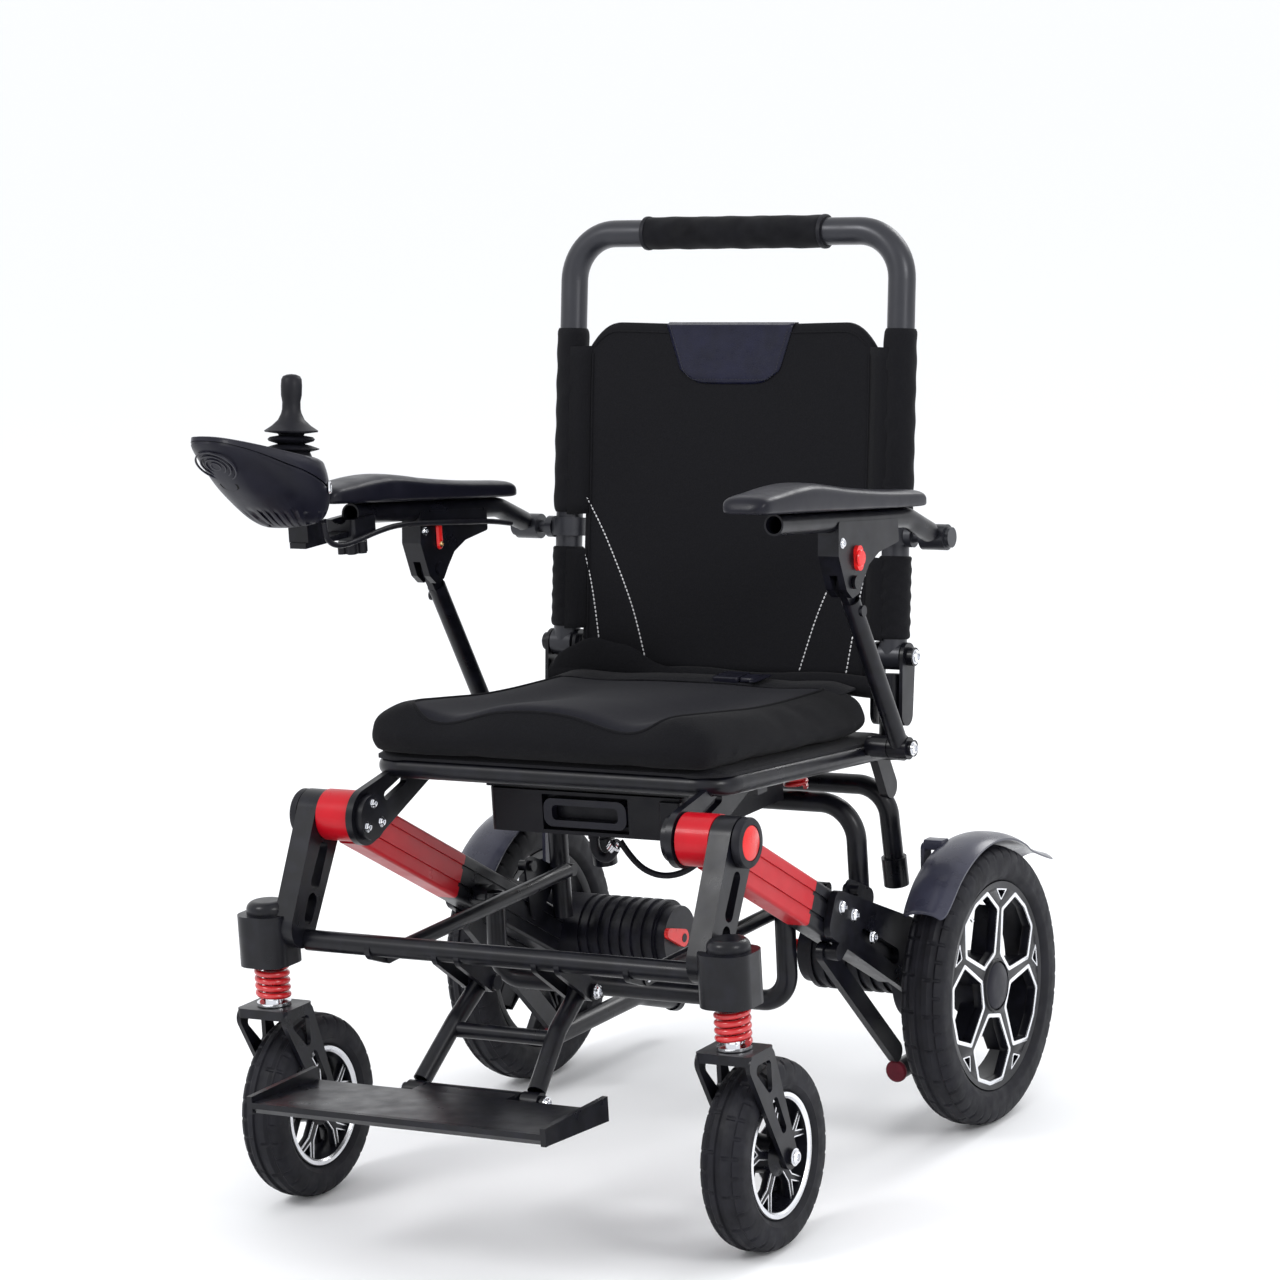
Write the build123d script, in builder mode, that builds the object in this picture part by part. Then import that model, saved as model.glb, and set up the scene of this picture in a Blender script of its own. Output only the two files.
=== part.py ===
"""Folding power wheelchair, as separate pieces. Lengths in mm, +Z up, the chair faces -Y.

The working frame has y = 0 on the rear axle and z = 0 on the floor. Each piece is moved by
AXLE_Y when it is written, which puts the origin under the middle of the chair's outer box.
"""
from build123d import *
import math
import os

os.makedirs("parts", exist_ok=True)

# Driving dimensions
AXLE_Y = 256.0
REAR_R, REAR_HALF, REAR_X = 152.0, 25.5, 285.5
CASTER_R, CASTER_HALF, CASTER_X = 97.4, 24.0, 274.0
CASTER_Y, STEM_Y = -477.0, -525.0
PIVOT_Y, PIVOT_Z = -458.0, 409.0
BEAM_ANGLE = math.atan2(REAR_R - PIVOT_Z, -PIVOT_Y)
BEAM_X, BEAM_W, BEAM_H = 215.0, 28.0, 50.0
RED_END, BEAM_END = 221.0, 446.0
TUBE_R, TUBE_WALL = 11.0, 2.0
RAIL_X, RAIL_FRONT_Y, RAIL_FRONT_Z, RAIL_SLOPE = 205.0, -404.0, 451.0, -0.0934
BACK_X, BACK_R, BACK_SLOPE = 205.0, 15.0, 0.16
HINGE_Y, HINGE_Z = -12.0, 513.0
HANDLE_Z = 964.0
ARM_X, ARM_R = 254.0, 11.0
ARM_PIN_Y, ARM_PIN_Z = 5.0, 641.0
ARM_BEND_Y, ARM_BEND_Z = -63.0, 673.0
ARM_FRONT_Y, ARM_SLOPE = -352.0, -0.1263
STRUT_FOOT = (-100.0, 432.0)
STRUT_TOP = (-208.0, 628.0)
ARCH_Y, ARCH_Z, ARCH_X = -85.0, 364.0, 188.0
CROSS_Y, CROSS_Z = -512.0, 287.0
HANGER_TOP = (-458.0, 243.0)
FOOT_HINGE = (-574.0, 157.0)
MOTOR_Y, MOTOR_Z, MOTOR_R = -5.0, 178.0, 42.0
DECK_TILT = math.radians(17.5)
STICK_X, STICK_Y = -254.0, -454.0
RUN = 0.05


def rail_z(y):
    """Height of the seat rail's centre line at y."""
    return RAIL_FRONT_Z + RAIL_SLOPE * (y - RAIL_FRONT_Y)


def back_y(z):
    """Depth of the leaning back tubes' centre line at height z."""
    return HINGE_Y + BACK_SLOPE * (z - HINGE_Z)


def arm_z(y):
    """Height of the armrest tube's centre line in front of its bend."""
    return ARM_BEND_Z + ARM_SLOPE * (y - ARM_BEND_Y)


def save(label, *pieces):
    """Write one node: its pieces stay separate solids."""
    solids = [solid.moved(Location((0, AXLE_Y, 0))) for piece in pieces for solid in piece.solids()]
    node = solids[0] if len(solids) == 1 else Compound(solids)
    node.label = label
    export_step(node, f"parts/{label}.step")


def flip(piece):
    """The same piece on the chair's other side."""
    return piece.mirror(Plane.YZ)


def tube(points, bend, radius=TUBE_R, wall=TUBE_WALL):
    """A bent tube along a polyline with rounded corners."""
    with BuildPart() as piece:
        with BuildLine() as path:
            if len(points) > 2:
                FilletPolyline(*points, radius=bend)
            else:
                Line(*points)
        with BuildSketch(Plane(origin=path.line @ 0, z_dir=path.line % 0)):
            Circle(radius)
            if wall:
                Circle(radius - wall, mode=Mode.SUBTRACT)
        sweep()
    return piece.part


def drum(x_low, x_high, y, z, radius, bore=0.0):
    """A cylinder along X, with an optional bore."""
    with BuildPart() as piece:
        with BuildSketch(Plane.YZ.offset(x_low)):
            with Locations((y, z)):
                Circle(radius)
                if bore:
                    Circle(bore, mode=Mode.SUBTRACT)
        extrude(amount=x_high - x_low)
    return piece.part


def link(x_low, x_high, circles, holes=(), windows=()):
    """A plate across X: the hull of circles (y, z, r), less round holes and hulled windows."""
    with BuildPart() as piece:
        with BuildSketch(Plane.YZ.offset(x_low)):
            for y, z, radius in circles:
                with Locations((y, z)):
                    Circle(radius)
            make_hull()
        extrude(amount=x_high - x_low)
        for y, z, radius in holes:
            with BuildSketch(Plane.YZ.offset(x_low)):
                with Locations((y, z)):
                    Circle(radius)
            extrude(amount=x_high - x_low, mode=Mode.SUBTRACT)
        for window in windows:
            with BuildSketch(Plane.YZ.offset(x_low)):
                for y, z, radius in window:
                    with Locations((y, z)):
                        Circle(radius)
                make_hull()
            extrude(amount=x_high - x_low, mode=Mode.SUBTRACT)
    return piece.part


def slab(x_low, x_high, outline, rounding=0.0):
    """A polygon in the YZ plane, extruded along X."""
    with BuildPart() as piece:
        with BuildSketch(Plane.YZ.offset(x_low)) as sketch:
            with BuildLine():
                Polyline(*outline, close=True)
            make_face()
            if rounding:
                fillet(sketch.vertices(), rounding)
        extrude(amount=x_high - x_low)
    return piece.part


def block(x, y, z, rounding=0.0):
    """A box between the limits x, y and z, with rounded upright edges."""
    with BuildPart() as piece:
        with BuildSketch(Plane.XY.offset(z[0])):
            with Locations(((x[0] + x[1]) / 2, (y[0] + y[1]) / 2)):
                if rounding:
                    RectangleRounded(x[1] - x[0], y[1] - y[0], rounding)
                else:
                    Rectangle(x[1] - x[0], y[1] - y[0])
        extrude(amount=z[1] - z[0])
    return piece.part


def post(x, y, z_low, z_high, radius, bore=0.0):
    """An upright cylinder, with an optional bore."""
    with BuildPart() as piece:
        with BuildSketch(Plane.XY.offset(z_low)):
            with Locations((x, y)):
                Circle(radius)
                if bore:
                    Circle(bore, mode=Mode.SUBTRACT)
        extrude(amount=z_high - z_low)
    return piece.part


def coil(x, y, z_low, z_high, radius, wire, turns):
    """An upright coil spring between two heights."""
    height = z_high - z_low - 2 * wire
    with BuildPart() as piece:
        with BuildLine(Plane.XY.offset(z_low + wire)) as path:
            Helix(pitch=height / turns, height=height, radius=radius)
        with BuildSketch(Plane(origin=path.line @ 0, z_dir=path.line % 0)):
            Circle(wire)
        sweep(is_frenet=True)
    return piece.part.moved(Location((x, y, 0)))


def beam_point(along, up=0.0):
    """(y, z) of a point on the side beam, measured from the front pivot."""
    y = PIVOT_Y + along * math.cos(BEAM_ANGLE) - up * math.sin(BEAM_ANGLE)
    z = PIVOT_Z + along * math.sin(BEAM_ANGLE) + up * math.cos(BEAM_ANGLE)
    return y, z


# ---------------------------------------------------------------- seat frame and its load
def seat_frame():
    """U-shaped rail tube, rear tube, back stubs with cheeks, strut lugs and battery tray."""
    rear_y = -28.0
    rail = tube([(-RAIL_X, rear_y, rail_z(rear_y)), (-RAIL_X, RAIL_FRONT_Y, RAIL_FRONT_Z),
                 (RAIL_X, RAIL_FRONT_Y, RAIL_FRONT_Z), (RAIL_X, rear_y, rail_z(rear_y))], 30)
    frame = rail + tube([(-RAIL_X + 9, -62, rail_z(-62)), (RAIL_X - 9, -62, rail_z(-62))], 0)
    for y in (-300.0, -165.0):
        frame += block((-196, 196), (y - 10, y + 10), (422, 430))
    frame += block((-123, 123), (-325, -140), (418, 422))
    for side in (1, -1):
        stub = tube([(BACK_X, back_y(rail_z(rear_y)), rail_z(rear_y)), (BACK_X, back_y(494), 494)],
                    0, 13, 3)
        stub += drum(192, 218, rear_y, rail_z(rear_y), 14)
        for x_low, x_high in ((185.6, 189.6), (220.4, 224.4)):
            stub += link(x_low, x_high, [(back_y(452), 452, 13), (HINGE_Y, HINGE_Z, 15)],
                         [(HINGE_Y, HINGE_Z, 6)])
        stub += link(216, 222, [(rear_y, rail_z(rear_y), 14), (*STRUT_FOOT, 10)])
        stub += drum(222, 242, *STRUT_FOOT, 12, 4 + RUN)
        stub += drum(222, 234, rear_y, rail_z(rear_y), 9)
        frame += stub if side > 0 else flip(stub)
    return frame


def seat_front_plates():
    """Slotted plates that hang the front of the rails on the front pivots."""
    plate = link(186, 194, [(PIVOT_Y, PIVOT_Z, 30), (-330, 440, 12), (-360, 444, 12)],
                 [(PIVOT_Y, PIVOT_Z, 10 + RUN), (-360, 446, 4), (-332, 441, 4)],
                 [[(-420, 424, 5), (-386, 434, 5)]])
    plate -= tube([(RAIL_X, -300, rail_z(-300)), (RAIL_X, RAIL_FRONT_Y, RAIL_FRONT_Z),
                   (0, RAIL_FRONT_Y, RAIL_FRONT_Z)], 30, TUBE_R + 0.2, 0)
    return plate, flip(plate)


def pivot_axles():
    """The front pivots' axles with their outer caps and the three inner ring bolts."""
    axle = drum(184, 258.6, PIVOT_Y, PIVOT_Z, 10)
    axle += drum(258.6, 267, PIVOT_Y, PIVOT_Z, 23)
    axle += drum(178, 185.95, PIVOT_Y, PIVOT_Z, 24)
    return axle, flip(axle)


def back_bolts():
    """Bolts of the back hinges."""
    bolt = drum(182, 185.6, HINGE_Y, HINGE_Z, 10) + drum(185.6, 224.4, HINGE_Y, HINGE_Z, 6)
    bolt += drum(224.4, 232, HINGE_Y, HINGE_Z, 10)
    return bolt, flip(bolt)


def rear_stand():
    """Inverted U under the seat's rear, with hanger plates and rubber tips."""
    stand = tube([(-185, 9, 262), (-185, -4, 367), (185, -4, 367), (185, 9, 262)], 34)
    tips = []
    for side in (1, -1):
        plate = link(182, 192, [(-4, 367, 13), (-28, rail_z(-28), 12)])
        stand += plate if side > 0 else flip(plate)
        tips.append(tube([(side * 185, 6.0, 286), (side * 185, 9.9, 254)], 0, 14, 3 - RUN / 10))
    return [stand] + tips


def seat_sling():
    """Firm fabric deck stretched over the rails."""
    low, high = 11.4, 18.6
    return slab(-212, 212, [(-414, rail_z(-414) + low), (-50, rail_z(-50) + low),
                            (-50, rail_z(-50) + high), (-414, rail_z(-414) + high)])


def seat_cushion():
    """Seat cushion, a plain wedge of its true size."""
    return slab(-221.5, 221.5, [(-442, 474), (-50, 438.2), (-50, 485), (-300, 508), (-442, 526)], 6)


def seat_belt():
    """Lap belt lying on the cushion's rear, and its buckle."""
    strap = slab(-216, 216, [(-112, 491.6), (-72, 488), (-72, 490.6), (-112, 494.2)])
    buckle = slab(20, 88, [(-118, 495.4), (-66, 490.4), (-66, 502), (-118, 507)], 2)
    return strap, buckle


def battery_pack():
    """Battery in its plastic case, with a step at one end of its front."""
    pack = block((-118, 118), (-330, -108), (372, 417.5), 8)
    pack -= block((-52, 52), (-331, -318), (376, 414), 0)
    pack += block((92, 117), (-336, -326), (376, 414), 3)
    return pack


def battery_handle():
    """Carrying handle, folded flat against the battery's front."""
    with BuildPart() as piece:
        with BuildSketch(Plane.XZ.offset(331)):
            with Locations((0, 395)):
                RectangleRounded(100, 30, 10)
                RectangleRounded(80, 16, 5, mode=Mode.SUBTRACT)
        extrude(amount=-10)
    return piece.part


def battery_cable():
    """Strain relief, elbow, coupling and lead from the battery to the left rail."""
    route = [(-22, -226, 342), (-8, -223, 318), (16, -218, 304), (42, -212, 306),
             (66, -206, 322), (84, -200, 346), (94, -197, 367)]
    relief = post(-52, -230, 346, 372, 8)
    elbow = tube([(-52, -230, 346), (-50, -229, 326), (-36, -227, 322), (-28, -226, 338)], 7, 6, 0)
    with BuildPart() as lead:
        with BuildLine() as path:
            FilletPolyline(*route, radius=bend_radii(route))
        with BuildSketch(Plane(origin=path.line @ 0, z_dir=path.line % 0)):
            Circle(3.5)
        sweep()
    print("battery lead bends", [round(r) for r in bend_radii(route)], "length", round(path.wire().length))
    return relief, elbow, lead.part


def bend_radii(route):
    """Arc radius at each inner point: 0.45 of the shorter run over the half turn's tangent."""
    radii = []
    for before, here, after in zip(route, route[1:], route[2:]):
        first = Vector(*here) - Vector(*before)
        second = Vector(*after) - Vector(*here)
        turn = math.radians(first.get_angle(second))
        radii.append(0.45 * min(first.length, second.length) / math.tan(turn / 2))
    return radii


# ---------------------------------------------------------------- front legs and casters
def front_arm():
    """Cast leg with windows, caster housing and domed cap, left side."""
    arm = link(234, 258, [(PIVOT_Y, PIVOT_Z, 26), (-519, 302, 22)],
               [(PIVOT_Y, PIVOT_Z, 10 + RUN)],
               [[(-473, 376, 7), (-492, 344, 8)], [(-500, 326, 8), (-509, 310, 7)]])
    with BuildPart() as housing:
        with BuildSketch(Plane.XY.offset(263)):
            with Locations((CASTER_X, STEM_Y)):
                RectangleRounded(56, 58, 20)
        extrude(amount=54)
        with BuildSketch(Plane.XY.offset(317)):
            with Locations((CASTER_X, STEM_Y)):
                Circle(22)
        extrude(amount=13)
        fillet(housing.faces().sort_by(Axis.Z)[-1].edges(), 9)
    arm += housing.part
    arm -= post(CASTER_X, STEM_Y, 262, 316, 9 + RUN)
    return arm


def front_cross_tube():
    """Tube between the caster housings, with the footrest's lugs."""
    cross = tube([(-234, CROSS_Y, CROSS_Z), (234, CROSS_Y, CROSS_Z)], 0)
    for x in (43, 70, -49, -76):
        cross += link(x, x + 6, [(CROSS_Y, CROSS_Z - 4, 11), (*HANGER_TOP, 10)], [(*HANGER_TOP, 4)])
    for side in (1, -1):
        cross += link(side * 154 - 3, side * 154 + 3, [(CROSS_Y, CROSS_Z - 3, 12), (-486, 272, 10)],
                      [(-486, 272, 4 + RUN)])
    return cross


def caster_stem():
    """Sprung stem with the spring's lower seat, left side."""
    stem = post(CASTER_X, STEM_Y, 205, 302, 9)
    return stem + post(CASTER_X, STEM_Y, 219, 222, 18)


def caster_fork():
    """Plate fork with two windows in each leg, left side."""
    axle_z = CASTER_R
    legs = [(STEM_Y - 14, 206, 12), (STEM_Y + 14, 206, 12), (CASTER_Y, axle_z, 13)]
    windows = [[(STEM_Y - 7, 200, 6), (STEM_Y + 11, 200, 6), (STEM_Y + 12, 178, 5)],
               [(STEM_Y + 22, 160, 5.5), (STEM_Y + 36, 130, 5)]]
    fork = link(CASTER_X - 31, CASTER_X - 26, legs, [(CASTER_Y, axle_z, 4)], windows)
    fork += link(CASTER_X + 26, CASTER_X + 31, legs, [(CASTER_Y, axle_z, 4)], windows)
    fork += block((CASTER_X - 31, CASTER_X + 31), (STEM_Y - 26, STEM_Y + 26), (208, 218), 6)
    fork -= post(CASTER_X, STEM_Y, 204, 219, 9 + RUN)
    bolt = drum(CASTER_X - 35, CASTER_X + 31, CASTER_Y, axle_z, 4)
    bolt += drum(CASTER_X - 35, CASTER_X - 31, CASTER_Y, axle_z, 8)
    bolt += drum(CASTER_X + 31, CASTER_X + 35, CASTER_Y, axle_z, 8)
    return fork + bolt


def tyre(x, y, z, outer, half, inner):
    """Rounded tyre section turned about X."""
    with BuildPart() as piece:
        with BuildSketch(Plane(origin=(x, y, z), x_dir=(1, 0, 0), z_dir=(0, -1, 0))) as section:
            with BuildLine():
                Polyline((-half + 6, inner), (half - 6, inner), (half, inner + 14),
                         (half - 2, outer - 14), (half - 12, outer), (-half + 12, outer),
                         (-half + 2, outer - 14), (-half, inner + 14), close=True)
            make_face()
            fillet(section.vertices(), 4)
        revolve(axis=Axis((x, y, z), (1, 0, 0)))
    return piece.part


def caster_wheel():
    """Caster tyre and its five-spoke rim, left side."""
    x, y, z, rim = CASTER_X, CASTER_Y, CASTER_R, 62
    wheel = drum(x - 19, x + 19, y, z, rim, rim - 7) + drum(x - 24, x + 24, y, z, 17, 4 + RUN)
    for number in range(5):
        angle = math.radians(72 * number + 20)
        tip = (y + (rim - 4) * math.cos(angle), z + (rim - 4) * math.sin(angle))
        root = (y + 20 * math.cos(angle), z + 20 * math.sin(angle))
        wheel += link(x + 6, x + 16, [(*root, 7), (*tip, 4)])
        wheel += link(x - 16, x - 6, [(*root, 7), (*tip, 4)])
    wheel -= drum(x - 25, x + 25, y, z, 4 + RUN)
    return tyre(x, y, z, CASTER_R, CASTER_HALF, rim), wheel


# ---------------------------------------------------------------- rear beams and drive
def beam_part(start, end, rounding):
    """A length of the grooved side beam, left side."""
    y, z = beam_point(start)
    direction = (0, math.cos(BEAM_ANGLE), math.sin(BEAM_ANGLE))
    with BuildPart() as piece:
        with BuildSketch(Plane(origin=(BEAM_X, y, z), x_dir=(1, 0, 0), z_dir=direction)):
            RectangleRounded(BEAM_W, BEAM_H, rounding)
            Rectangle(BEAM_W - 9, BEAM_H - 9, mode=Mode.SUBTRACT)
            with GridLocations(BEAM_W, 20, 2, 2):
                Rectangle(4, 5, mode=Mode.SUBTRACT)
        extrude(amount=end - start)
    return piece.part


def beam_covers():
    """Red front half of each beam with its pivot barrel."""
    beam = beam_part(20, RED_END, 4) - drum(195, 235, PIVOT_Y, PIVOT_Z, 26)
    barrel = drum(196, 233.4, PIVOT_Y, PIVOT_Z, 27, 10 + RUN)
    beam += barrel
    return beam, flip(beam)


def side_beams():
    """Black rear half of each beam."""
    beam = beam_part(RED_END, BEAM_END, 4)
    return beam, flip(beam)


def axle_plates():
    """Outer plates that carry the gear motors, with the anti-tip struts."""
    top = beam_point(266, 12)
    low = beam_point(266, -12)
    plate = link(229, 237, [(*top, 14), (*low, 14), (*beam_point(400, 0), 30), (0, REAR_R, 34),
                            (MOTOR_Y, MOTOR_Z, 34)],
                 [(*beam_point(270, 10), 4), (*beam_point(300, 10), 4), (*beam_point(350, 0), 4),
                  (0, REAR_R, 8)],
                 [[(*beam_point(330, -2), 6), (*beam_point(410, -4), 9)]])
    strut = link(214, 222, [(*beam_point(285, -36), 11), (-78, 91.5, 11)])
    strut += link(222, 229, [(*beam_point(285, -35.5), 8)])
    strut += link(229, 237, [(*beam_point(285, -35), 9), (*beam_point(300, -10), 9)])
    plate += strut
    plate += link(229, 237, [(0, 116, 18), (8, 74, 14)])
    anti_tip = tube([(218, -66, 69), (218, 118, 69), (218, 196, 44)], 60)
    return plate, flip(plate), anti_tip, flip(anti_tip)


def anti_tip_caps():
    """Caps and rear pads of the anti-tip tubes."""
    front = tube([(218, -74, 69), (218, -66, 69)], 0, TUBE_R, 0)
    rear = tube([(218, 196, 44), (218, 206, 40.8)], 0, 13, 0)
    return front, rear, flip(front), flip(rear)


def support_arch():
    """Inverted U between the beams, under the seat."""
    arch = tube([(-ARCH_X, ARCH_Y + 2, 214), (-ARCH_X, ARCH_Y, ARCH_Z), (ARCH_X, ARCH_Y, ARCH_Z),
                 (ARCH_X, ARCH_Y + 2, 214)], 40)
    for side in (1, -1):
        ear = link(198.6, 201, [(ARCH_Y - 3, 262, 12), (-128, 281, 11), (-120, 232, 14)])
        ear += drum(190, 199, ARCH_Y, 262, 9)
        ear += drum(194, 212, -128, 281, 6)
        arch += ear if side > 0 else flip(ear)
    return arch


def seat_springs():
    """Red dampers on top of the arch, under the seat's rear tube."""
    springs = []
    for x in (-118, 118):
        springs.append(coil(x, ARCH_Y, ARCH_Z + TUBE_R + 2, 404, 11, 2.6, 4))
    return springs


def lower_loop():
    """U-shaped cross brace hung under the beams."""
    loop = tube([(-179, -236, 278), (-179, -238, 184), (179, -238, 184), (179, -236, 278)], 30)
    for side in (1, -1):
        ear = link(184, 201, [(-236, 276, 9), (-232, 276, 9)])
        loop += ear if side > 0 else flip(ear)
    return loop


def gear_motor():
    """Left gear motor: ribbed motor, end cap, gearbox and wheel shaft."""
    motor = drum(96, 200, MOTOR_Y, MOTOR_Z, MOTOR_R - 3)
    for x in (98, 112, 126, 140, 154, 168, 182, 194):
        motor += drum(x, x + 6, MOTOR_Y, MOTOR_Z, MOTOR_R)
    motor += drum(84, 96, MOTOR_Y, MOTOR_Z, MOTOR_R - 6)
    motor += link(200, 229, [(MOTOR_Y, MOTOR_Z, MOTOR_R), (0, REAR_R, 42)])
    motor += drum(229, 302, 0, REAR_R, 8)
    motor += drum(78, 84, MOTOR_Y, MOTOR_Z, 5)
    return motor


def freewheel_lever():
    """Red clutch lever on the left motor's inner end."""
    lever = link(78.4, 83.4, [(MOTOR_Y, MOTOR_Z, 10), (MOTOR_Y - 30, MOTOR_Z + 12, 6)],
                 [(MOTOR_Y, MOTOR_Z, 5 + RUN)])
    return lever


def fender():
    """Curved guard over the left rear wheel, with its stay."""
    inner, outer = 163.0, 166.5
    with BuildPart() as piece:
        with BuildSketch(Plane.YZ.offset(257)):
            with BuildLine():
                arcs = [CenterArc((0, REAR_R), radius, 52, 78) for radius in (inner, outer)]
                Polyline(arcs[0] @ 1, (-125, 262), (-130, 264), (-132, 292), (-128.6, 292),
                         (-126.5, 266.5), arcs[1] @ 1)
                Polyline(arcs[0] @ 0, (160, 261), (162, 264), arcs[1] @ 0)
            make_face()
        extrude(amount=54)
    stay = link(237, 241, [(-30, 190, 12), (-22, 316, 9)])
    stay += link(241, 257.5, [(-24, 312, 5), (-16, 312, 5)])
    return piece.part + stay


def rear_wheel():
    """Rear tyre and its windowed rim, left side."""
    x, y, z, rim = REAR_X, 0.0, REAR_R, 112.0
    wheel = drum(x - 20, x + 20, y, z, rim, rim - 8)
    face = drum(x + 8, x + 19, y, z, rim - 4)
    cuts = []
    for number in range(5):
        angle = math.radians(72 * number + 40.5)
        corners = []
        for radius, offset in ((42, 16), (42, -16), (80, 27), (80, -27), (100, 12), (100, -12)):
            turn = angle + math.radians(offset)
            corners.append((y + radius * math.cos(turn), z + radius * math.sin(turn), 5))
        cuts.append(corners)
        turn = angle + math.radians(36)
        cuts.append([(y + 96 * math.cos(turn + t), z + 96 * math.sin(turn + t), 4)
                     for t in (-0.1, 0.1)] + [(y + 87 * math.cos(turn), z + 87 * math.sin(turn), 3)])
    for cut in cuts:
        face -= link(x + 7, x + 20, cut)
    wheel += face + drum(x - 24, x + 21, y, z, 30)
    wheel -= drum(x - 25, x + 18, y, z, 8 + RUN)
    wheel -= drum(x - 25, 302.5, y, z, 8 + RUN)
    return tyre(x, y, z, REAR_R, REAR_HALF, rim), wheel


def fold_strut():
    """Left diagonal strut from the cross tube back to the arch."""
    strut = tube([(154, -462, 272), (158, -118, 276)], 0, 8, 1.5)
    strut += link(149.4, 150.6, [(-486, 272, 9), (-458, 272, 8)])
    strut += link(157.4, 158.8, [(-486, 272, 9), (-458, 272, 8)])
    strut += drum(148, 160, -486, 272, 4)
    strut += drum(152, 166, -112, 276, 7)
    return strut


# ---------------------------------------------------------------- footrest
def footrest_hangers():
    """Two hanger tubes with their crossbar."""
    hangers = tube([(-62, -512, 206), (62, -512, 206)], 0, 8, 1.5)
    for side in (1, -1):
        top = (side * 59.5, *HANGER_TOP)
        leg = tube([(side * 59.5, HANGER_TOP[0] - 6, HANGER_TOP[1] - 3),
                    (side * 61, -508, 214), (side * 68, -566, 166)], 60, 9.5)
        leg += drum(min(side * 49.6, side * 69.4), max(side * 49.6, side * 69.4), *HANGER_TOP, 10)
        leg -= drum(min(side * 49, side * 70), max(side * 49, side * 70), *HANGER_TOP, 4 + RUN)
        leg += drum(min(side * 58, side * 78), max(side * 58, side * 78), *FOOT_HINGE, 11)
        leg -= drum(min(side * 57, side * 79), max(side * 57, side * 79), *FOOT_HINGE, 4 + RUN)
        hangers += leg
    return hangers


def hanger_bolts():
    """Bolts of the hangers in the cross tube's lugs."""
    bolt = drum(39, 80, *HANGER_TOP, 4) + drum(39, 43, *HANGER_TOP, 8) + drum(76, 80, *HANGER_TOP, 8)
    return bolt, flip(bolt)


def footplate():
    """Foot plate with its hinge box, end lips and bumpers."""
    with BuildPart() as plate:
        with BuildSketch(Plane.YZ.offset(-174)) as side:
            with BuildLine():
                Polyline((-722, 170), (-716, 164), (-604, 157), (-604, 168), (-716, 176), (-722, 176),
                         close=True)
            make_face()
        extrude(amount=348)
    base = plate.part + block((-56, 56), (-606, -584), (140, 168), 4)
    base += link(-56, 56, [(-590, 152, 12), (-574, 157, 10)])
    base += block((168, 174), (-722, -604), (164, 182)) + block((-174, -168), (-722, -604), (164, 182))
    bolt = drum(-84, 84, *FOOT_HINGE, 4) + drum(79, 84, *FOOT_HINGE, 8) + drum(-84, -79, *FOOT_HINGE, 8)
    base += bolt
    for x in (-50, 50):
        base += post(x, -640, 148, 166, 8)
    return base


# ---------------------------------------------------------------- back
def back_tube():
    """Back frame and push handle, with hinge knuckles and the armrests' pivot rings."""
    low, high = HINGE_Z + 2, HANDLE_Z
    frame = tube([(-BACK_X, back_y(low), low), (-BACK_X, back_y(high), high),
                  (BACK_X, back_y(high), high), (BACK_X, back_y(low), low)], 52, BACK_R, 2.5)
    for side in (1, -1):
        knuckle = drum(193, 219, HINGE_Y, HINGE_Z, 15)
        collar = tube([(BACK_X, back_y(631), 631), (BACK_X, back_y(651), 651)], 0, 20, 5.2)
        collar += drum(221, 229, ARM_PIN_Y, ARM_PIN_Z, 12) + drum(229, 272, ARM_PIN_Y, ARM_PIN_Z, 7)
        collar += drum(240, 268.6, ARM_PIN_Y, ARM_PIN_Z, 14) + drum(268.6, 274, ARM_PIN_Y, ARM_PIN_Z, 11)
        knuckle += collar
        frame += knuckle if side > 0 else flip(knuckle)
    bore = drum(180, 226, HINGE_Y, HINGE_Z, 6 + RUN)
    return frame - bore - flip(bore)


def handle_sleeve():
    """Foam sleeve on the push handle."""
    y = back_y(HANDLE_Z)
    return drum(-113, 113, y, HANDLE_Z, 18.5, BACK_R)


def back_panel():
    """Stretched back fabric and the sleeves that hold it to the tubes."""
    low, high, front, rear = 487.0, 866.0, 10.0, 3.0
    panel = slab(-181, 181, [(back_y(low) - front, low), (back_y(low) + rear, low),
                             (back_y(high) + rear, high), (back_y(high) - front, high)])
    sleeves = []
    for side in (1, -1):
        for z_low, z_high in ((662, 858), (532, 618)):
            sleeves.append(tube([(side * BACK_X, back_y(z_low), z_low),
                                 (side * BACK_X, back_y(z_high), z_high)], 0, 18.5, 3.45))
    return [panel] + sleeves


# ---------------------------------------------------------------- armrests
def armrest_tube():
    """Left armrest tube, ending short of the pivot ring on the back tube."""
    return tube([(ARM_X, ARM_PIN_Y - 15, ARM_PIN_Z + 8), (ARM_X, ARM_BEND_Y, ARM_BEND_Z),
                 (ARM_X, ARM_FRONT_Y, arm_z(ARM_FRONT_Y))], 60, ARM_R, 2)


def armrest_pad():
    """Left armrest pad, a plain contoured solid of its true size."""
    with BuildPart() as piece:
        with BuildSketch(Plane.YZ.offset(ARM_X - 28)) as side:
            with BuildLine():
                rear, front = -48.0, -418.0
                low = 11.3
                first = (rear, arm_z(rear) + low + 4)
                base = Line(first, (front, arm_z(front) + low))
                nose = Line(base @ 1, (front, arm_z(front) + low + 18))
                top = Spline(nose @ 1, (-380, arm_z(-380) + 34), (-304, arm_z(-304) + 42),
                             (-230, arm_z(-230) + 36), (-150, arm_z(-150) + 31.5),
                             (rear, arm_z(rear) + 29.5))
                Line(top @ 1, first)
            make_face()
        extrude(amount=56)
    return piece.part


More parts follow.
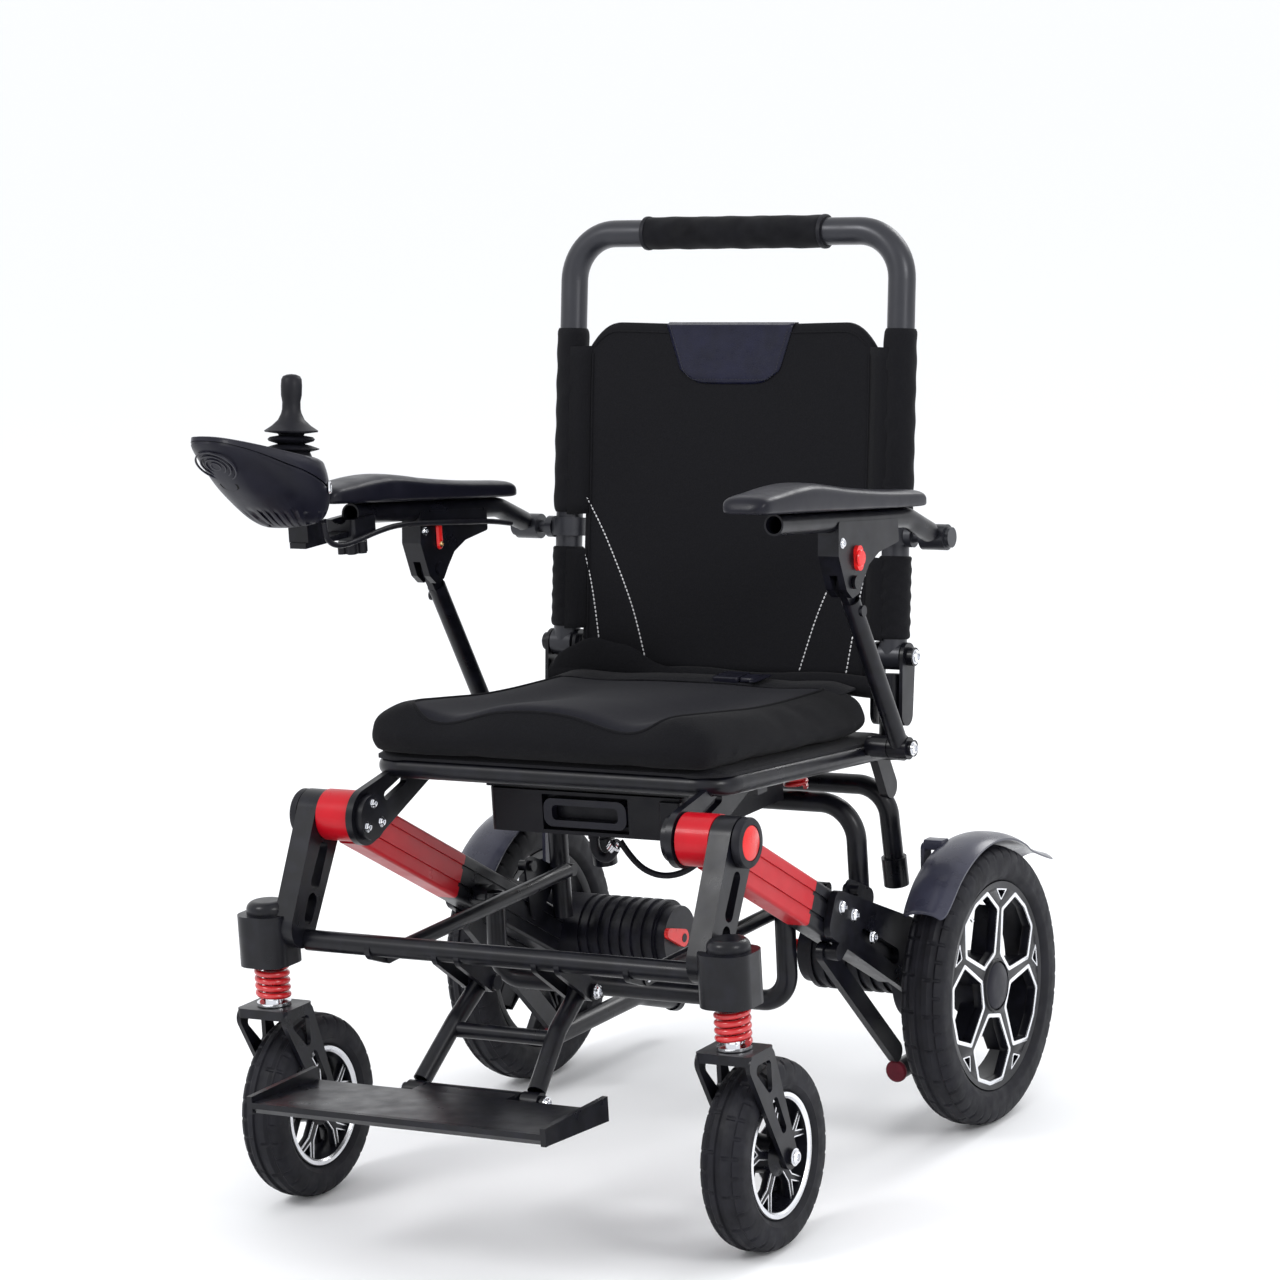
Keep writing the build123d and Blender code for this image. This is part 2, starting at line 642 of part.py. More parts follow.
def latch_bracket():
    """Left cast bracket that holds the armrest tube and its strut."""
    outline = [(-236, arm_z(-236)), (-104, arm_z(-104)), (-104, 654), (-150, 650), (-174, 641),
               (-188, 627), (-198, 615), (-214, 612), (-226, 622), (-240, 660)]
    bracket = slab(242, 266, outline, 3)
    bracket -= tube([(ARM_X, -80, arm_z(-80)), (ARM_X, -260, arm_z(-260))], 0, ARM_R + 0.5, 0)
    bracket -= slab(249.5, 258.5, [(-232, 600), (-232, 642), (-214, 650), (-182, 640), (-170, 600)])
    bracket -= drum(241, 267, *STRUT_TOP, 4 + RUN)
    bracket -= link(259.5, 267, [(-200, 646, 7.4), (-200, 658, 7.4)])
    return bracket


def latch_button():
    """Red release button in the bracket's outer face."""
    return link(263, 270, [(-200, 646, 7.1), (-200, 658, 7.1)])


def armrest_strut():
    """Left strut from the seat rail to the latch bracket."""
    direction = Vector(0, STRUT_TOP[0] - STRUT_FOOT[0], STRUT_TOP[1] - STRUT_FOOT[1]).normalized()
    foot = Vector(ARM_X, *STRUT_FOOT)
    top = Vector(ARM_X, *STRUT_TOP)
    strut = tube([tuple(foot + direction * 4), tuple(top - direction * 24)], 0, 10, 2)
    strut += drum(243, 265, *STRUT_FOOT, 12)
    near = top - direction * 34
    strut += link(250, 258, [(*STRUT_TOP, 11), (near.Y, near.Z, 9)])
    strut += drum(222, 243, *STRUT_FOOT, 4)
    strut += drum(265, 269, *STRUT_FOOT, 8)
    strut += drum(238, 270, *STRUT_TOP, 4) + drum(266.6, 270, *STRUT_TOP, 7)
    strut += drum(238, 241.4, *STRUT_TOP, 7)
    middle = top - direction * 38
    strut += drum(263, 266, middle.Y, middle.Z, 6)
    return strut


# ---------------------------------------------------------------- hand controller, right armrest
DECK_FRONT, DECK_REAR, DECK_HIGH = -606.0, -424.0, 828.0


def controller_base():
    """Lower bowl of the controller, with the riser to its mounting bar."""
    bowl = slab(-300, -208, [(-600, 815.6), (DECK_REAR, deck_z(DECK_REAR) - 10.6), (DECK_REAR, 740),
                             (-434, 714), (-490, 714), (-548, 754)], 3)
    bowl -= deck_disc(STICK_Y, deck_z(STICK_Y), -20, 2, 15)
    return bowl


def controller_top():
    """Upper deck of the controller, with button pockets and the stick's opening."""
    deck = slab(-302, -206, [(DECK_FRONT, DECK_HIGH), (DECK_REAR, deck_z(DECK_REAR)),
                             (DECK_REAR, deck_z(DECK_REAR) - 10.4), (-600, 815.8)], 2)
    for y, z in BUTTON_PLACES:
        deck -= deck_disc(y, z, -9, 10, 6.3)
    deck -= deck_disc(STICK_Y, deck_z(STICK_Y), -14, 10, 15)
    return deck


def deck_z(y):
    """Height of the controller's sloping deck at y."""
    return DECK_HIGH - (y - DECK_FRONT) * math.tan(DECK_TILT)


BUTTON_PLACES = [(-575, deck_z(-575)), (-545, deck_z(-545)), (-515, deck_z(-515))]


def deck_disc(y, z, low, high, radius):
    """A disc square to the deck, from low to high along the deck's normal."""
    normal = Vector(0, math.sin(DECK_TILT), math.cos(DECK_TILT))
    with BuildPart() as piece:
        with BuildSketch(Plane(origin=Vector(STICK_X, y, z) + normal * low, z_dir=normal)):
            Circle(radius)
        extrude(amount=high - low)
    return piece.part


def joystick():
    """Joystick with its rubber flanges."""
    z = deck_z(STICK_Y)
    stick = deck_disc(STICK_Y, z, -8, 70, 5)
    stick += deck_disc(STICK_Y, z, 10, 15, 25) + deck_disc(STICK_Y, z, 20, 24, 21)
    stick += deck_disc(STICK_Y, z, 29, 33, 17) + deck_disc(STICK_Y, z, 33, 56, 8)
    stick += deck_disc(STICK_Y, z, 56, 92, 11)
    return stick


def stick_gimbal():
    """Gimbal disc that carries the joystick inside the controller."""
    return deck_disc(STICK_Y, deck_z(STICK_Y), -17, -11, 12)


def mount_bar():
    """Flat bar and riser that carry the controller."""
    return block((-264, -244), (-452, -326), (688, 694), 0) + block((-266, -242), (-450, -414), (694, 714))


def clamp_block():
    """Clamp under the right armrest tube, with a slot for the bar."""
    clamp = block((-272, -236), (-374, -330), (684, 706.5), 4)
    clamp -= block((-264.3, -243.7), (-380, -320), (687.7, 694.3), 0)
    clamp -= tube([(-ARM_X, -300, arm_z(-300)), (-ARM_X, -400, arm_z(-400))], 0, ARM_R + RUN, 0)
    clamp -= post(-ARM_X, -352, 683, 687.8, 4 + RUN)
    return clamp


def star_knob():
    """Star knob and its chrome screw under the clamp."""
    knob = post(-ARM_X, -352, 668, 680, 12) + post(-ARM_X, -352, 680, 687.4, 4)
    for number in range(6):
        angle = math.radians(60 * number)
        knob += post(-ARM_X + 12 * math.cos(angle), -352 + 12 * math.sin(angle), 668, 680, 5)
    return knob


def controller_cable():
    """Lead from the controller back along the armrest tube."""
    route = [(-230, -437, 713.2), (-230, -436, 701), (-230, -427, 690), (-229.5, -408, 684.5),
             (-229, -380, 685.5), (-229, -345, 689), (-231, -300, 690), (-234, -250, 684),
             (-235.5, -200, 677), (-235, -150, 670), (-234, -105, 664), (-233, -70, 656)]
    with BuildPart() as lead:
        with BuildLine() as path:
            FilletPolyline(*route, radius=bend_radii(route))
        with BuildSketch(Plane(origin=path.line @ 0, z_dir=path.line % 0)):
            Circle(3)
        sweep()
    print("controller lead bends", [round(r) for r in bend_radii(route)], "length", round(path.wire().length))
    return lead.part


def both(label, piece):
    """Write a piece on the sitter's left (+X) and its mirror image on the right."""
    save(f"{label}_left", piece)
    save(f"{label}_right", flip(piece))


save("seat_frame", seat_frame(), *back_bolts())
save("seat_front_plates", *seat_front_plates())
save("pivot_axles", *pivot_axles())
save("rear_stand", *rear_stand())
save("seat_sling", seat_sling())
save("seat_cushion", seat_cushion())
save("seat_belt", *seat_belt())
save("battery_pack", battery_pack())
save("battery_handle", battery_handle())
save("battery_cable", *battery_cable())
both("front_arm", front_arm())
save("front_cross_tube", front_cross_tube(), *hanger_bolts())
both("caster_spring", coil(CASTER_X, STEM_Y, 222, 263, 15.5, 3.2, 4.5))
both("caster_stem", caster_stem())
both("caster_fork", caster_fork())
save("caster_wheel_left", *caster_wheel())
save("caster_wheel_right", *[flip(piece) for piece in caster_wheel()])
save("beam_covers", *beam_covers())
save("side_beams", *side_beams())
save("axle_plates", *axle_plates(), *anti_tip_caps())
save("support_arch", support_arch())
save("seat_springs", *seat_springs())
save("lower_loop", lower_loop())
save("gear_motors", gear_motor(), flip(gear_motor()))
both("freewheel_lever", freewheel_lever())
save("fenders", fender(), flip(fender()))
save("rear_wheel_left", *rear_wheel())
save("rear_wheel_right", *[flip(piece) for piece in rear_wheel()])
save("fold_struts", fold_strut(), flip(fold_strut()))
save("footrest_hangers", footrest_hangers())
save("footplate", footplate())
save("back_tube", back_tube())
save("handle_sleeve", handle_sleeve())
save("back_panel", *back_panel())
both("armrest_tube", armrest_tube())
both("armrest_pad", armrest_pad())
both("latch_bracket", latch_bracket())
both("latch_button", latch_button())
both("armrest_strut", armrest_strut())
save("controller_base", controller_base())
save("controller_top", controller_top())
save("joystick", joystick())
save("stick_gimbal", stick_gimbal())
for label, (y, z) in zip(("power_button", "speed_down_button", "speed_up_button"), BUTTON_PLACES):
    save(label, deck_disc(y, z, -6, 2, 6))
save("mount_bar", mount_bar())
save("clamp_block", clamp_block())
save("star_knob", star_knob())
save("controller_cable", controller_cable())
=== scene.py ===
"""Folding power wheelchair: finishes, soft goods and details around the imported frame.

Lengths inside the helpers are mm measured from the rear axle; pos() turns them into the row frame.
"""
import math
import bmesh
import bpy
import numpy as np
from mathutils import Matrix, Vector
from mathutils.bvhtree import BVHTree


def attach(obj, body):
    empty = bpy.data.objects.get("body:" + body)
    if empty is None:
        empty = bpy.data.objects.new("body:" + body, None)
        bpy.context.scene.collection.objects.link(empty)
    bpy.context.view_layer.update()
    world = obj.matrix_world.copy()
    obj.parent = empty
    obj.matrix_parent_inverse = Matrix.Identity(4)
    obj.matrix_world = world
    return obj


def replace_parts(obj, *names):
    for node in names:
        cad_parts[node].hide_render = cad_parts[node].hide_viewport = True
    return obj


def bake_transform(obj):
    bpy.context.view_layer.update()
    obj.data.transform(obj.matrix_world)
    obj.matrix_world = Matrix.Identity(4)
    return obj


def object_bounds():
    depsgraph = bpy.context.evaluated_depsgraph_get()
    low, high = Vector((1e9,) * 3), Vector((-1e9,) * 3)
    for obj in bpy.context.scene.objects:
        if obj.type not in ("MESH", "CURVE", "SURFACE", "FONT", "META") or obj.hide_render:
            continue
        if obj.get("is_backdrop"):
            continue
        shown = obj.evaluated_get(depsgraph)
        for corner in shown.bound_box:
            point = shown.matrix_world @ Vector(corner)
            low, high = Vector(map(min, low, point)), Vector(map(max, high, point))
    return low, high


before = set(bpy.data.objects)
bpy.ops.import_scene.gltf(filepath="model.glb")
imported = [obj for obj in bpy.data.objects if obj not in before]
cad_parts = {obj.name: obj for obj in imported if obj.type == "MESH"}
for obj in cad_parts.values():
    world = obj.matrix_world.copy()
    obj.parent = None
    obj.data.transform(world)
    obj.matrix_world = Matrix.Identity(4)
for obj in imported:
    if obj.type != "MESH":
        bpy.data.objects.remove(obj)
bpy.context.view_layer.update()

MM = 0.001
AXLE_Y = 256.0
TAU = 2 * math.pi
SIDES = (("left", 1), ("right", -1))
REAR_X, REAR_R, RIM_R = 285.5, 152.0, 110.0
CASTER_X, CASTER_Y, CASTER_R = 274.0, -477.0, 97.4
PIVOT_Y, PIVOT_Z = -458.0, 409.0
ARM_X = 254.0


def pos(x, y, z):
    """A point in mm from the rear axle, in the row frame."""
    return Vector((x * MM, (y + AXLE_Y) * MM, z * MM))


# ---------------------------------------------------------------- camera and lights
CAMERA_AT = pos(2305.9, -4091.6, 1341.6)
CAMERA_RIGHT = Vector((0.8640917, 0.50005053, -0.05740216)).normalized()
CAMERA_UP = Vector((-0.03687828, 0.17663445, 0.98358541)).normalized()
CAMERA_LENS = 121.63

lens = bpy.data.cameras.new("camera")
lens.lens, lens.sensor_width = CAMERA_LENS, 36.0
lens.clip_start, lens.clip_end = 0.1, 300
camera = bpy.data.objects.new("camera", lens)
bpy.context.collection.objects.link(camera)
back = CAMERA_RIGHT.cross(CAMERA_UP)
camera.matrix_world = Matrix.Translation(CAMERA_AT) @ Matrix(
    (CAMERA_RIGHT, CAMERA_UP, back)).transposed().to_4x4()
bpy.context.scene.camera = camera


def area_light(name, place, target, size, power, colour=(1, 1, 1)):
    light = bpy.data.lights.new(name, "AREA")
    light.shape, light.size, light.energy, light.color = "DISK", size, power, colour
    lamp = bpy.data.objects.new(name, light)
    bpy.context.collection.objects.link(lamp)
    lamp.location = place
    lamp.rotation_euler = (Vector(target) - Vector(place)).to_track_quat("-Z", "Y").to_euler()


area_light("key", (-1.6, -3.0, 3.4), (0, 0, 0.4), 1.4, 62)
area_light("side", (3.4, -1.2, 2.2), (0, 0, 0.5), 1.2, 42)
area_light("rim", (0.6, 3.2, 2.6), (0, 0, 0.5), 1.6, 40)
world = bpy.data.worlds.new("studio")
bpy.context.scene.world = world
world.use_nodes = True
world.node_tree.nodes["Background"].inputs["Color"].default_value = (0.97, 0.98, 1.0, 1)
world.node_tree.nodes["Background"].inputs["Strength"].default_value = 1.08
bpy.context.scene.view_settings.view_transform = "Standard"


# ---------------------------------------------------------------- materials
class Finish:
    """A procedural material, built up from noise in object space."""

    def __init__(self, name, colour, rough, metal=0.0, **sockets):
        self.name = name
        self.material = bpy.data.materials.new(name)
        self.material.use_nodes = True
        self.nodes = self.material.node_tree.nodes
        self.links = self.material.node_tree.links
        self.bsdf = self.nodes["Principled BSDF"]
        self.coord = self.nodes.new("ShaderNodeTexCoord").outputs["Object"]
        self.normal = None
        self.set("Base Color", (*colour, 1))
        self.set("Roughness", rough)
        self.set("Metallic", metal)
        self.set("Specular IOR Level", 0.5 if rough < 0.3 or metal else 0.22)
        for socket, value in sockets.items():
            self.set(socket.replace("_", " "), value)
        self.colour, self.rough = colour, rough

    def set(self, socket, value):
        self.bsdf.inputs[socket].default_value = value

    def stretched(self, scale):
        node = self.nodes.new("ShaderNodeMapping")
        node.inputs["Scale"].default_value = scale
        self.links.new(self.coord, node.inputs["Vector"])
        return node.outputs["Vector"]

    def noise(self, scale, detail=3.0, stretch=None):
        node = self.nodes.new("ShaderNodeTexNoise")
        node.inputs["Scale"].default_value = scale
        node.inputs["Detail"].default_value = detail
        self.links.new(self.stretched(stretch) if stretch else self.coord, node.inputs["Vector"])
        return node.outputs["Fac"]

    def cells(self, scale, feature="F1", stretch=None):
        node = self.nodes.new("ShaderNodeTexVoronoi")
        node.feature = feature
        node.inputs["Scale"].default_value = scale
        self.links.new(self.stretched(stretch) if stretch else self.coord, node.inputs["Vector"])
        return node.outputs["Distance"]

    def ranged(self, value, low, high, start=0.3, end=0.7):
        node = self.nodes.new("ShaderNodeMapRange")
        for socket, number in zip(("From Min", "From Max", "To Min", "To Max"), (start, end, low, high)):
            node.inputs[socket].default_value = number
        self.links.new(value, node.inputs["Value"])
        return node.outputs["Result"]

    def math(self, operation, first, second):
        node = self.nodes.new("ShaderNodeMath")
        node.operation = operation
        for socket, value in zip(node.inputs, (first, second)):
            if isinstance(value, (int, float)):
                socket.default_value = value
            else:
                self.links.new(value, socket)
        return node.outputs["Value"]

    def tint(self, value, low, high):
        """Base colour from low to high times the finish's own, by value from 0 to 1."""
        node = self.nodes.new("ShaderNodeValToRGB")
        ramp = node.color_ramp.elements
        ramp[0].position, ramp[1].position = 0.3, 0.7
        ramp[0].color = (*(c * low for c in self.colour), 1)
        ramp[1].color = (*(min(c * high, 1) for c in self.colour), 1)
        self.links.new(value, node.inputs["Fac"])
        self.links.new(node.outputs["Color"], self.bsdf.inputs["Base Color"])
        return self

    def roughness(self, value, spread):
        out = self.ranged(value, max(self.rough - spread, 0.03), min(self.rough + spread, 1))
        self.links.new(out, self.bsdf.inputs["Roughness"])
        return self

    def bump(self, height, depth, strength=1.0):
        """Bump of that depth in mm."""
        node = self.nodes.new("ShaderNodeBump")
        node.inputs["Strength"].default_value = strength
        node.inputs["Distance"].default_value = depth * MM
        self.links.new(height, node.inputs["Height"])
        if self.normal:
            self.links.new(self.normal, node.inputs["Normal"])
        self.normal = node.outputs["Normal"]
        self.links.new(self.normal, self.bsdf.inputs["Normal"])
        return self


def painted(name, colour, rough, metal=0.0, wear=1.0, **sockets):
    """Powder-coated metal with an orange-peel skin and light scuffs."""
    f = Finish(name, colour, rough, metal, **sockets)
    scuffs = f.noise(60, 8)
    f.tint(f.ranged(scuffs, 0.3, 0.3 + 0.4 * wear, 0.45, 0.72), 0.85, 1 + 0.9 * wear)
    f.roughness(f.noise(35, 5), 0.08)
    return f.bump(f.noise(1500, 2), 0.05, 0.5)


def moulded(name, colour, rough, grain=1300, depth=0.06, **sockets):
    """Moulded plastic with a spark-eroded grain."""
    f = Finish(name, colour, rough, **sockets)
    f.tint(f.noise(25, 4), 0.85, 1.3)
    f.roughness(f.noise(50, 6), 0.07)
    return f.bump(f.cells(grain), depth, 0.6)


def rubbery(name, colour, rough, **sockets):
    f = Finish(name, colour, rough, **sockets)
    f.tint(f.noise(45, 6), 0.75, 1.45)
    f.roughness(f.noise(70, 6), 0.1)
    return f.bump(f.noise(900, 4), 0.12, 0.5)


def metallic(name, colour, rough, stretch=(1, 1, 1), **sockets):
    """Bare or plated metal with fine machining lines."""
    f = Finish(name, colour, rough, 1.0, **sockets)
    f.tint(f.noise(30, 4), 0.9, 1.08)
    f.roughness(f.noise(350, 4, stretch), 0.07)
    return f.bump(f.noise(1200, 2, stretch), 0.015, 0.5)


def woven(name, colour, thread=1.0, depth=0.25, rough=0.9, soft=8.0, **sockets):
    """Woven or knitted cloth: threads of that pitch in mm over soft unevenness."""
    f = Finish(name, colour, rough, **sockets)
    weave = f.cells(1000 / thread, "SMOOTH_F1", (1, 1, 1.25))
    fuzz = f.noise(700, 5)
    f.tint(f.math("ADD", f.math("MULTIPLY", weave, 0.55), f.math("MULTIPLY", fuzz, 0.45)), 0.55, 1.7)
    f.roughness(fuzz, 0.06)
    f.bump(f.noise(soft * 2.2, 3), 0.8, 0.3)
    f.bump(fuzz, 0.15, 0.5)
    return f.bump(weave, depth, 0.8)


BLACK = (0.0035, 0.0036, 0.006)
FINISHES = {finish.name: finish for finish in (
    painted("satin_black", BLACK, 0.34, Coat_Weight=0.12, Coat_Roughness=0.2),
    painted("graphite", (0.022, 0.023, 0.03), 0.36, 0.3, 0.25, Coat_Weight=0.1, Coat_Roughness=0.3),
    painted("gloss_red", (0.52, 0.003, 0.012), 0.34, 0.0, 0.2, Coat_Weight=0.12, Coat_Roughness=0.08),
    moulded("red_part", (0.66, 0.012, 0.012), 0.32, Coat_Weight=0.4),
    painted("spring_red", (0.56, 0.01, 0.014), 0.28, 0.0, 0.3, Coat_Weight=0.6, Coat_Roughness=0.12),
    rubbery("dark_red", (0.085, 0.004, 0.012), 0.4),
    metallic("chrome", (0.78, 0.79, 0.82), 0.13),
    metallic("silver", (0.86, 0.87, 0.9), 0.27, (1, 9, 9)),
    metallic("brass", (0.75, 0.55, 0.3), 0.25),
    rubbery("rubber", (0.0065, 0.0065, 0.0095), 0.6),
    rubbery("grip_rubber", (0.006, 0.006, 0.009), 0.5),
    moulded("pod_plastic", (0.006, 0.006, 0.012), 0.4),
    moulded("deck_plastic", (0.009, 0.009, 0.016), 0.38, Coat_Weight=0.08),
    moulded("case_plastic", (0.004, 0.004, 0.007), 0.42, 900, 0.12),
    moulded("slate_plastic", (0.03, 0.031, 0.05), 0.3, Coat_Weight=0.3, Coat_Roughness=0.18),
    painted("motor_black", (0.006, 0.006, 0.01), 0.4),
    moulded("pad_skin", (0.005, 0.005, 0.01), 0.36, 700, 0.1),
    woven("knit", (0.0016, 0.0016, 0.003), 1.3, 0.35, Sheen_Weight=0.02),
    woven("seat_top", (0.003, 0.003, 0.007), 0.9, 0.18, 0.78, Sheen_Weight=0.03),
    woven("back_cloth", (0.0018, 0.0018, 0.0034), 1.0, 0.25, 0.86, 5.0, Sheen_Weight=0.02),
    woven("webbing", (0.003, 0.003, 0.005), 1.7, 0.5, 0.7, Sheen_Weight=0.03),
    woven("thread", (0.62, 0.62, 0.66), 0.6, 0.12, 0.7),
    woven("dark_thread", (0.02, 0.02, 0.028), 0.6, 0.12, 0.6),
    rubbery("foam", (0.0025, 0.0025, 0.004), 0.92, Sheen_Weight=0.04),
    rubbery("cable", (0.005, 0.005, 0.008), 0.45),
    # near-black painted shade that stands in for the depth of the sensor recess
    rubbery("dark_void", (0.0015, 0.0015, 0.002), 0.8),
)}
leather = Finish("leatherette", (0.005, 0.0055, 0.018), 0.34, Coat_Weight=0.1, Coat_Roughness=0.3)
leather.tint(leather.noise(40, 5), 0.8, 1.4).roughness(leather.noise(120, 5), 0.09)
leather.bump(leather.cells(420, "DISTANCE_TO_EDGE"), 0.22, 0.8)
FINISHES[leather.name] = leather

COATS = {
    "satin_black": ["seat_frame", "seat_front_plates", "rear_stand", "front_arm_left", "front_arm_right",
                    "front_cross_tube", "caster_fork_left", "caster_fork_right", "side_beams",
                    "axle_plates", "support_arch", "lower_loop", "fold_struts", "footrest_hangers",
                    "footplate", "armrest_tube_left", "armrest_tube_right", "armrest_strut_left",
                    "armrest_strut_right", "latch_bracket_left", "latch_bracket_right", "mount_bar",
                    "clamp_block", "pivot_axles"],
    "graphite": ["back_tube"],
    "gloss_red": ["beam_covers"],
    "spring_red": ["caster_spring_left", "caster_spring_right", "seat_springs"],
    "chrome": ["caster_stem_left", "caster_stem_right", "stick_gimbal"],
    "red_part": ["latch_button_left", "latch_button_right", "freewheel_lever_left",
                 "freewheel_lever_right"],
    "slate_plastic": ["fenders"],
    "motor_black": ["gear_motors"],
    "case_plastic": ["battery_pack", "star_knob"],
    "deck_plastic": ["battery_handle"],
    "grip_rubber": ["power_button", "speed_down_button", "speed_up_button"],
}
for coat, names in COATS.items():
    for name in names:
        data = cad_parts[name].data
        data.materials.clear()
        data.materials.append(FINISHES[coat].material)


# ---------------------------------------------------------------- mesh helpers
def finish_mesh(mesh, coat, angle=38.0):
    work = bmesh.new()
    work.from_mesh(mesh)
    bmesh.ops.remove_doubles(work, verts=work.verts, dist=2e-6)
    bmesh.ops.recalc_face_normals(work, faces=work.faces)
    work.to_mesh(mesh)
    work.free()
    mesh.materials.clear()
    mesh.materials.append(FINISHES[coat].material)
    mesh.shade_smooth()
    mesh.set_sharp_from_angle(angle=math.radians(angle))


def piece(name, verts, faces, coat, body=None, angle=38.0):
    """A mesh from points in mm; it rides on body."""
    mesh = bpy.data.meshes.new(name)
    mesh.from_pydata([pos(*v) for v in verts], [], faces)
    finish_mesh(mesh, coat, angle)
    obj = bpy.data.objects.new(name, mesh)
    bpy.context.collection.objects.link(obj)
    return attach(obj, body) if body else obj


def loft(loops, closed=False, caps=True):
    """Verts and faces between equal loops of points."""
    n, count = len(loops[0]), len(loops)
    verts = [tuple(p) for loop in loops for p in loop]
    faces = []
    for a in range(count if closed else count - 1):
        b = (a + 1) % count
        faces += [(a * n + i, a * n + (i + 1) % n, b * n + (i + 1) % n, b * n + i) for i in range(n)]
    if caps and not closed:
        faces += [tuple(range(n))[::-1], tuple(range((count - 1) * n, count * n))]
    return verts, faces


def double_grid(columns, rows, point):
    """Verts and faces of a closed skin: point(layer, i, j) for the lower layer, 0, and the upper, 1."""
    span = rows + 1
    size = span * (columns + 1)
    verts = [point(layer, i, j) for layer in (0, 1) for i in range(columns + 1) for j in range(span)]
    faces = []
    for i in range(columns):
        for j in range(rows):
            quad = (i * span + j, (i + 1) * span + j, (i + 1) * span + j + 1, i * span + j + 1)
            faces += [tuple(size + a for a in quad), quad[::-1]]
    edge = ([i * span for i in range(columns)] + [columns * span + j for j in range(rows)]
            + [i * span + rows for i in range(columns, 0, -1)] + list(range(rows, 0, -1)))
    faces += [(a, b, size + b, size + a) for a, b in zip(edge, edge[1:] + edge[:1])]
    return verts, faces


def basis(axis):
    w = Vector(axis).normalized()
    u = w.orthogonal().normalized()
    return u, w.cross(u), w


def turned(origin, axis, profile, segments=32):
    """Verts and faces of a profile (radius, height) turned about an axis."""
    u, v, w = basis(axis)
    origin = Vector(origin)
    loops = []
    closed = profile[0] == profile[-1]
    for radius, height in profile[:-1] if closed else profile:
        loops.append([origin + w * height + (u * math.cos(TAU * k / segments)
                                             + v * math.sin(TAU * k / segments)) * max(radius, 0.001)
                      for k in range(segments)])
    return loft(loops, closed)


class Batch:
    """Several solids that become one piece."""

    def __init__(self):
        self.verts, self.faces = [], []

    def add(self, shape):
        start = len(self.verts)
        self.verts += shape[0]
        self.faces += [tuple(i + start for i in face) for face in shape[1]]
        return self

    def make(self, name, coat, body=None, angle=38.0):
        return piece(name, self.verts, self.faces, coat, body, angle)


def path_tube(points, radius, segments=12, closed=False, squash=1.0, up=None):
    """Verts and faces of a tube along points; squash flattens it along its second direction."""
    points = [Vector(p) for p in points]
    count = len(points)
    loops, u = [], None
    for i, here in enumerate(points):
        before = points[(i - 1) % count] if closed or i else here
        after = points[(i + 1) % count] if closed or i < count - 1 else here
        w = (after - before).normalized()
        if up is not None:
            u = Vector(up)
        elif u is None:
            u = w.orthogonal()
        u = (u - w * u.dot(w)).normalized()
        v = w.cross(u)
        r = radius(i / max(count - 1, 1)) if callable(radius) else radius
        loops.append([here + u * (r * math.cos(TAU * k / segments))
                      + v * (r * squash * math.sin(TAU * k / segments)) for k in range(segments)])
    return loft(loops, closed)


def smooth_path(points, steps=8):
    """Catmull-Rom points through the given ones."""
    p = [Vector(q) for q in points]
    p = [p[0] * 2 - p[1]] + p + [p[-1] * 2 - p[-2]]
    out = []
    for i in range(1, len(p) - 2):
        for k in range(steps):
            t = k / steps
            out.append(0.5 * (2 * p[i] + (p[i + 1] - p[i - 1]) * t
                              + (2 * p[i - 1] - 5 * p[i] + 4 * p[i + 1] - p[i + 2]) * t * t
                              + (3 * p[i] - p[i - 1] - 3 * p[i + 1] + p[i + 2]) * t ** 3))
    return out + [p[-2]]


def interpolate(x, table):
    """Smooth value at x from (x, value) pairs in rising x."""
    xs, ys = zip(*table)
    if x <= xs[0]:
        return ys[0]
    if x >= xs[-1]:
        return ys[-1]
    i = next(k for k in range(len(xs) - 1) if xs[k] <= x <= xs[k + 1])
    slopes = [0.0] * len(xs)
    for k in range(1, len(xs) - 1):
        slopes[k] = (ys[k + 1] - ys[k - 1]) / (xs[k + 1] - xs[k - 1])
    slopes[0] = (ys[1] - ys[0]) / (xs[1] - xs[0])
    slopes[-1] = (ys[-1] - ys[-2]) / (xs[-1] - xs[-2])
    h = xs[i + 1] - xs[i]
    t = (x - xs[i]) / h
    return ((2 * t ** 3 - 3 * t ** 2 + 1) * ys[i] + (t ** 3 - 2 * t ** 2 + t) * h * slopes[i]
            + (3 * t ** 2 - 2 * t ** 3) * ys[i + 1] + (t ** 3 - t ** 2) * h * slopes[i + 1])


def plate(name, loops, x, half, bevel, coat, body):
    """A flat plate with holes from loops of (u, v) in mm, across X at x, as one bevelled mesh."""
    curve = bpy.data.curves.new(name, "CURVE")
    curve.dimensions, curve.fill_mode = "2D", "BOTH"
    curve.extrude, curve.bevel_depth, curve.bevel_resolution = (half - bevel) * MM, bevel * MM, 1
    curve.offset = -bevel * MM
    for loop in loops:
        spline = curve.splines.new("POLY")
        spline.points.add(len(loop) - 1)
        spline.use_cyclic_u = True
        for point, (u, v) in zip(spline.points, loop):
            point.co = (u * MM, v * MM, 0, 1)
    shape = bpy.data.objects.new(name, curve)
    bpy.context.collection.objects.link(shape)
    bpy.context.view_layer.update()
    mesh = bpy.data.meshes.new_from_object(shape.evaluated_get(bpy.context.evaluated_depsgraph_get()))
    bpy.data.objects.remove(shape)
    turn = Matrix(((0, 0, 1), (1, 0, 0), (0, 1, 0))).to_4x4()
    mesh.transform(Matrix.Translation(pos(x, 0, 0)) @ turn)
    finish_mesh(mesh, coat, 30)
    obj = bpy.data.objects.new(name, mesh)
    bpy.context.collection.objects.link(obj)
    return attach(obj, body)


